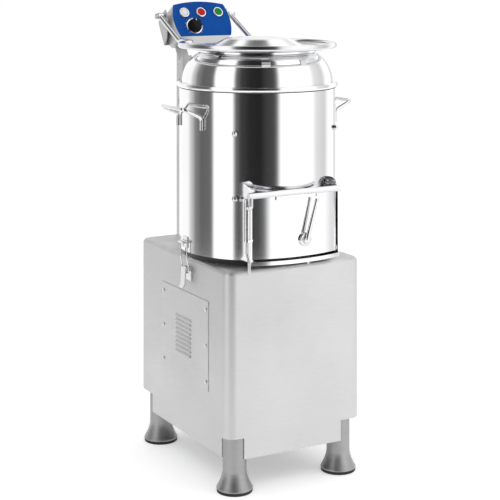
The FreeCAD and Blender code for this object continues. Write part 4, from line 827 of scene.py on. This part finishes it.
def surround():
    """Curved studio surround with dark and grey bands, seen only in reflections of the metal."""
    towards = Vector((CAMERA_PLACE[0], CAMERA_PLACE[1], 0)).normalized()
    aside = Vector((-towards.y, towards.x, 0))
    middle = Vector((0, AXIS_Y * MM, SURROUND_Z))
    angles = sorted(set([-90 + 2 * i for i in range(91)] + [a for a, value in BANDS]))
    points, values = [], []
    for row, rise in enumerate(RISES[:1] + RISES):
        e = math.radians(rise)
        fade = min(1.0, max(0.0, (rise - FADE_RISE[0]) / (FADE_RISE[1] - FADE_RISE[0])))
        for angle in angles:
            a = math.radians(angle)
            facing_in = math.cos(e) * math.cos(a)
            ray = towards * (2 * facing_in ** 2 - 1) + aside * (2 * facing_in * math.cos(e) * math.sin(a))
            ray += Vector((0, 0, 2 * facing_in * math.sin(e)))
            place = middle + ray * SURROUND_R
            points.append((place.x, place.y, SURROUND_FOOT if row == 0 else place.z))
            values.append(band_value(angle) * (1 - fade) + fade)
    size = len(angles)
    faces = [(r * size + k, r * size + k + 1, (r + 1) * size + k + 1, (r + 1) * size + k)
             for r in range(len(RISES)) for k in range(size - 1)]
    mesh = bpy.data.meshes.new("studio_surround")
    mesh.from_pydata(points, [], faces)
    shade = mesh.color_attributes.new("bands", "FLOAT_COLOR", "POINT")
    for item, value in zip(shade.data, values):
        item.color = (value, value, value, 1)
    piece = bpy.data.objects.new("studio_surround", mesh)
    bpy.context.scene.collection.objects.link(piece)
    material = bpy.data.materials.new("surround_bands")
    material.use_nodes = True
    nodes = material.node_tree.nodes
    nodes.clear()
    source = nodes.new("ShaderNodeAttribute")
    source.attribute_name = "bands"
    glow = nodes.new("ShaderNodeEmission")
    out = nodes.new("ShaderNodeOutputMaterial")
    material.node_tree.links.new(source.outputs["Color"], glow.inputs["Color"])
    material.node_tree.links.new(glow.outputs[0], out.inputs["Surface"])
    piece.data.materials.append(material)
    for kind in ("camera", "diffuse", "transmission", "volume_scatter", "shadow"):
        setattr(piece, "visible_" + kind, False)


def seen_directly(nodes, links):
    """One for camera, glossy and transmission rays, else nought."""
    path = nodes.new("ShaderNodeLightPath")
    total = path.outputs["Is Camera Ray"]
    for name in ("Is Glossy Ray", "Is Transmission Ray"):
        total = maths(nodes, links, "MAXIMUM", total, path.outputs[name])
    return total


def studio():
    """White floor and world, the banded surround for the metal, and soft lamps."""
    bpy.ops.mesh.primitive_plane_add(size=FLOOR_SIZE, location=(0, 0, 0))
    floor = bpy.context.object
    floor.name = "studio_floor"
    material, nodes, links, shader = new_material("floor_white")
    shader.inputs["Roughness"].default_value = 0.9
    shader.inputs["Specular IOR Level"].default_value = 0.1
    links.new(ramp(nodes, links, noise(nodes, links, 0.5, (1, 1, 1)), 0.93, 0.96), shader.inputs["Base Color"])
    shader.inputs["Emission Color"].default_value = (1, 1, 1, 1)
    links.new(maths(nodes, links, "MULTIPLY", seen_directly(nodes, links), FLOOR_LIFT),
              shader.inputs["Emission Strength"])
    floor.data.materials.append(material)
    world = bpy.data.worlds.new("studio_world")
    bpy.context.scene.world = world
    world.use_nodes = True
    nodes, links = world.node_tree.nodes, world.node_tree.links
    background = nodes["Background"]
    strength = nodes.new("ShaderNodeMapRange")
    strength.inputs["To Min"].default_value = WORLD_LIGHT
    strength.inputs["To Max"].default_value = 1.0
    links.new(seen_directly(nodes, links), strength.inputs["Value"])
    links.new(strength.outputs["Result"], background.inputs["Strength"])
    background.inputs["Color"].default_value = (1, 1, 1, 1)
    surround()
    for name, place, size, power in LAMPS:
        light = bpy.data.lights.new(name, "AREA")
        light.size = size
        light.energy = power
        lamp = bpy.data.objects.new(name, light)
        lamp.location = place
        lamp.rotation_euler = (Vector((0, 0, 0.6)) - Vector(place)).to_track_quat("-Z", "Y").to_euler()
        lamp.visible_glossy = False
        bpy.context.scene.collection.objects.link(lamp)


def shift_with_height(data, eye):
    """Vertical lens shift that holds at the photograph's camera height and is nought from other views."""
    curve = data.driver_add("shift_y")
    curve.driver.type = "SUM"
    height = curve.driver.variables.new()
    height.type = "TRANSFORMS"
    height.targets[0].id = eye
    height.targets[0].transform_type = "LOC_Z"
    height.targets[0].transform_space = "WORLD_SPACE"
    for modifier in list(curve.modifiers):
        curve.modifiers.remove(modifier)
    curve.keyframe_points.clear()
    centre = CAMERA_PLACE[2] * MM
    for z, value in ((centre - SHIFT_SPAN, 0.0), (centre, CAMERA_SHIFT), (centre + SHIFT_SPAN, 0.0)):
        curve.keyframe_points.insert(z, value).interpolation = "LINEAR"
    curve.extrapolation = "CONSTANT"
    curve.update()


def camera():
    """Level camera from the front left, framed by a vertical shift."""
    data = bpy.data.cameras.new("camera")
    data.sensor_width = 36.0
    data.lens = CAMERA_LENS
    data.clip_end = 100
    eye = bpy.data.objects.new("camera", data)
    eye.location = at(*CAMERA_PLACE)
    eye.rotation_euler = (math.radians(90), 0, math.radians(CAMERA_TURN))
    bpy.context.scene.collection.objects.link(eye)
    bpy.context.scene.camera = eye
    shift_with_height(data, eye)


def main():
    """Dress the machine and light it."""
    dress_nodes()
    drum_skin()
    dome_skin()
    lid_skin()
    hoop_tube()
    cabinet_skin()
    leg_skins()
    side_handles()
    door_leaf()
    door_bar()
    door_lever()
    control_fittings()
    studio()
    camera()
    bpy.context.scene.view_settings.view_transform = "Standard"


main()
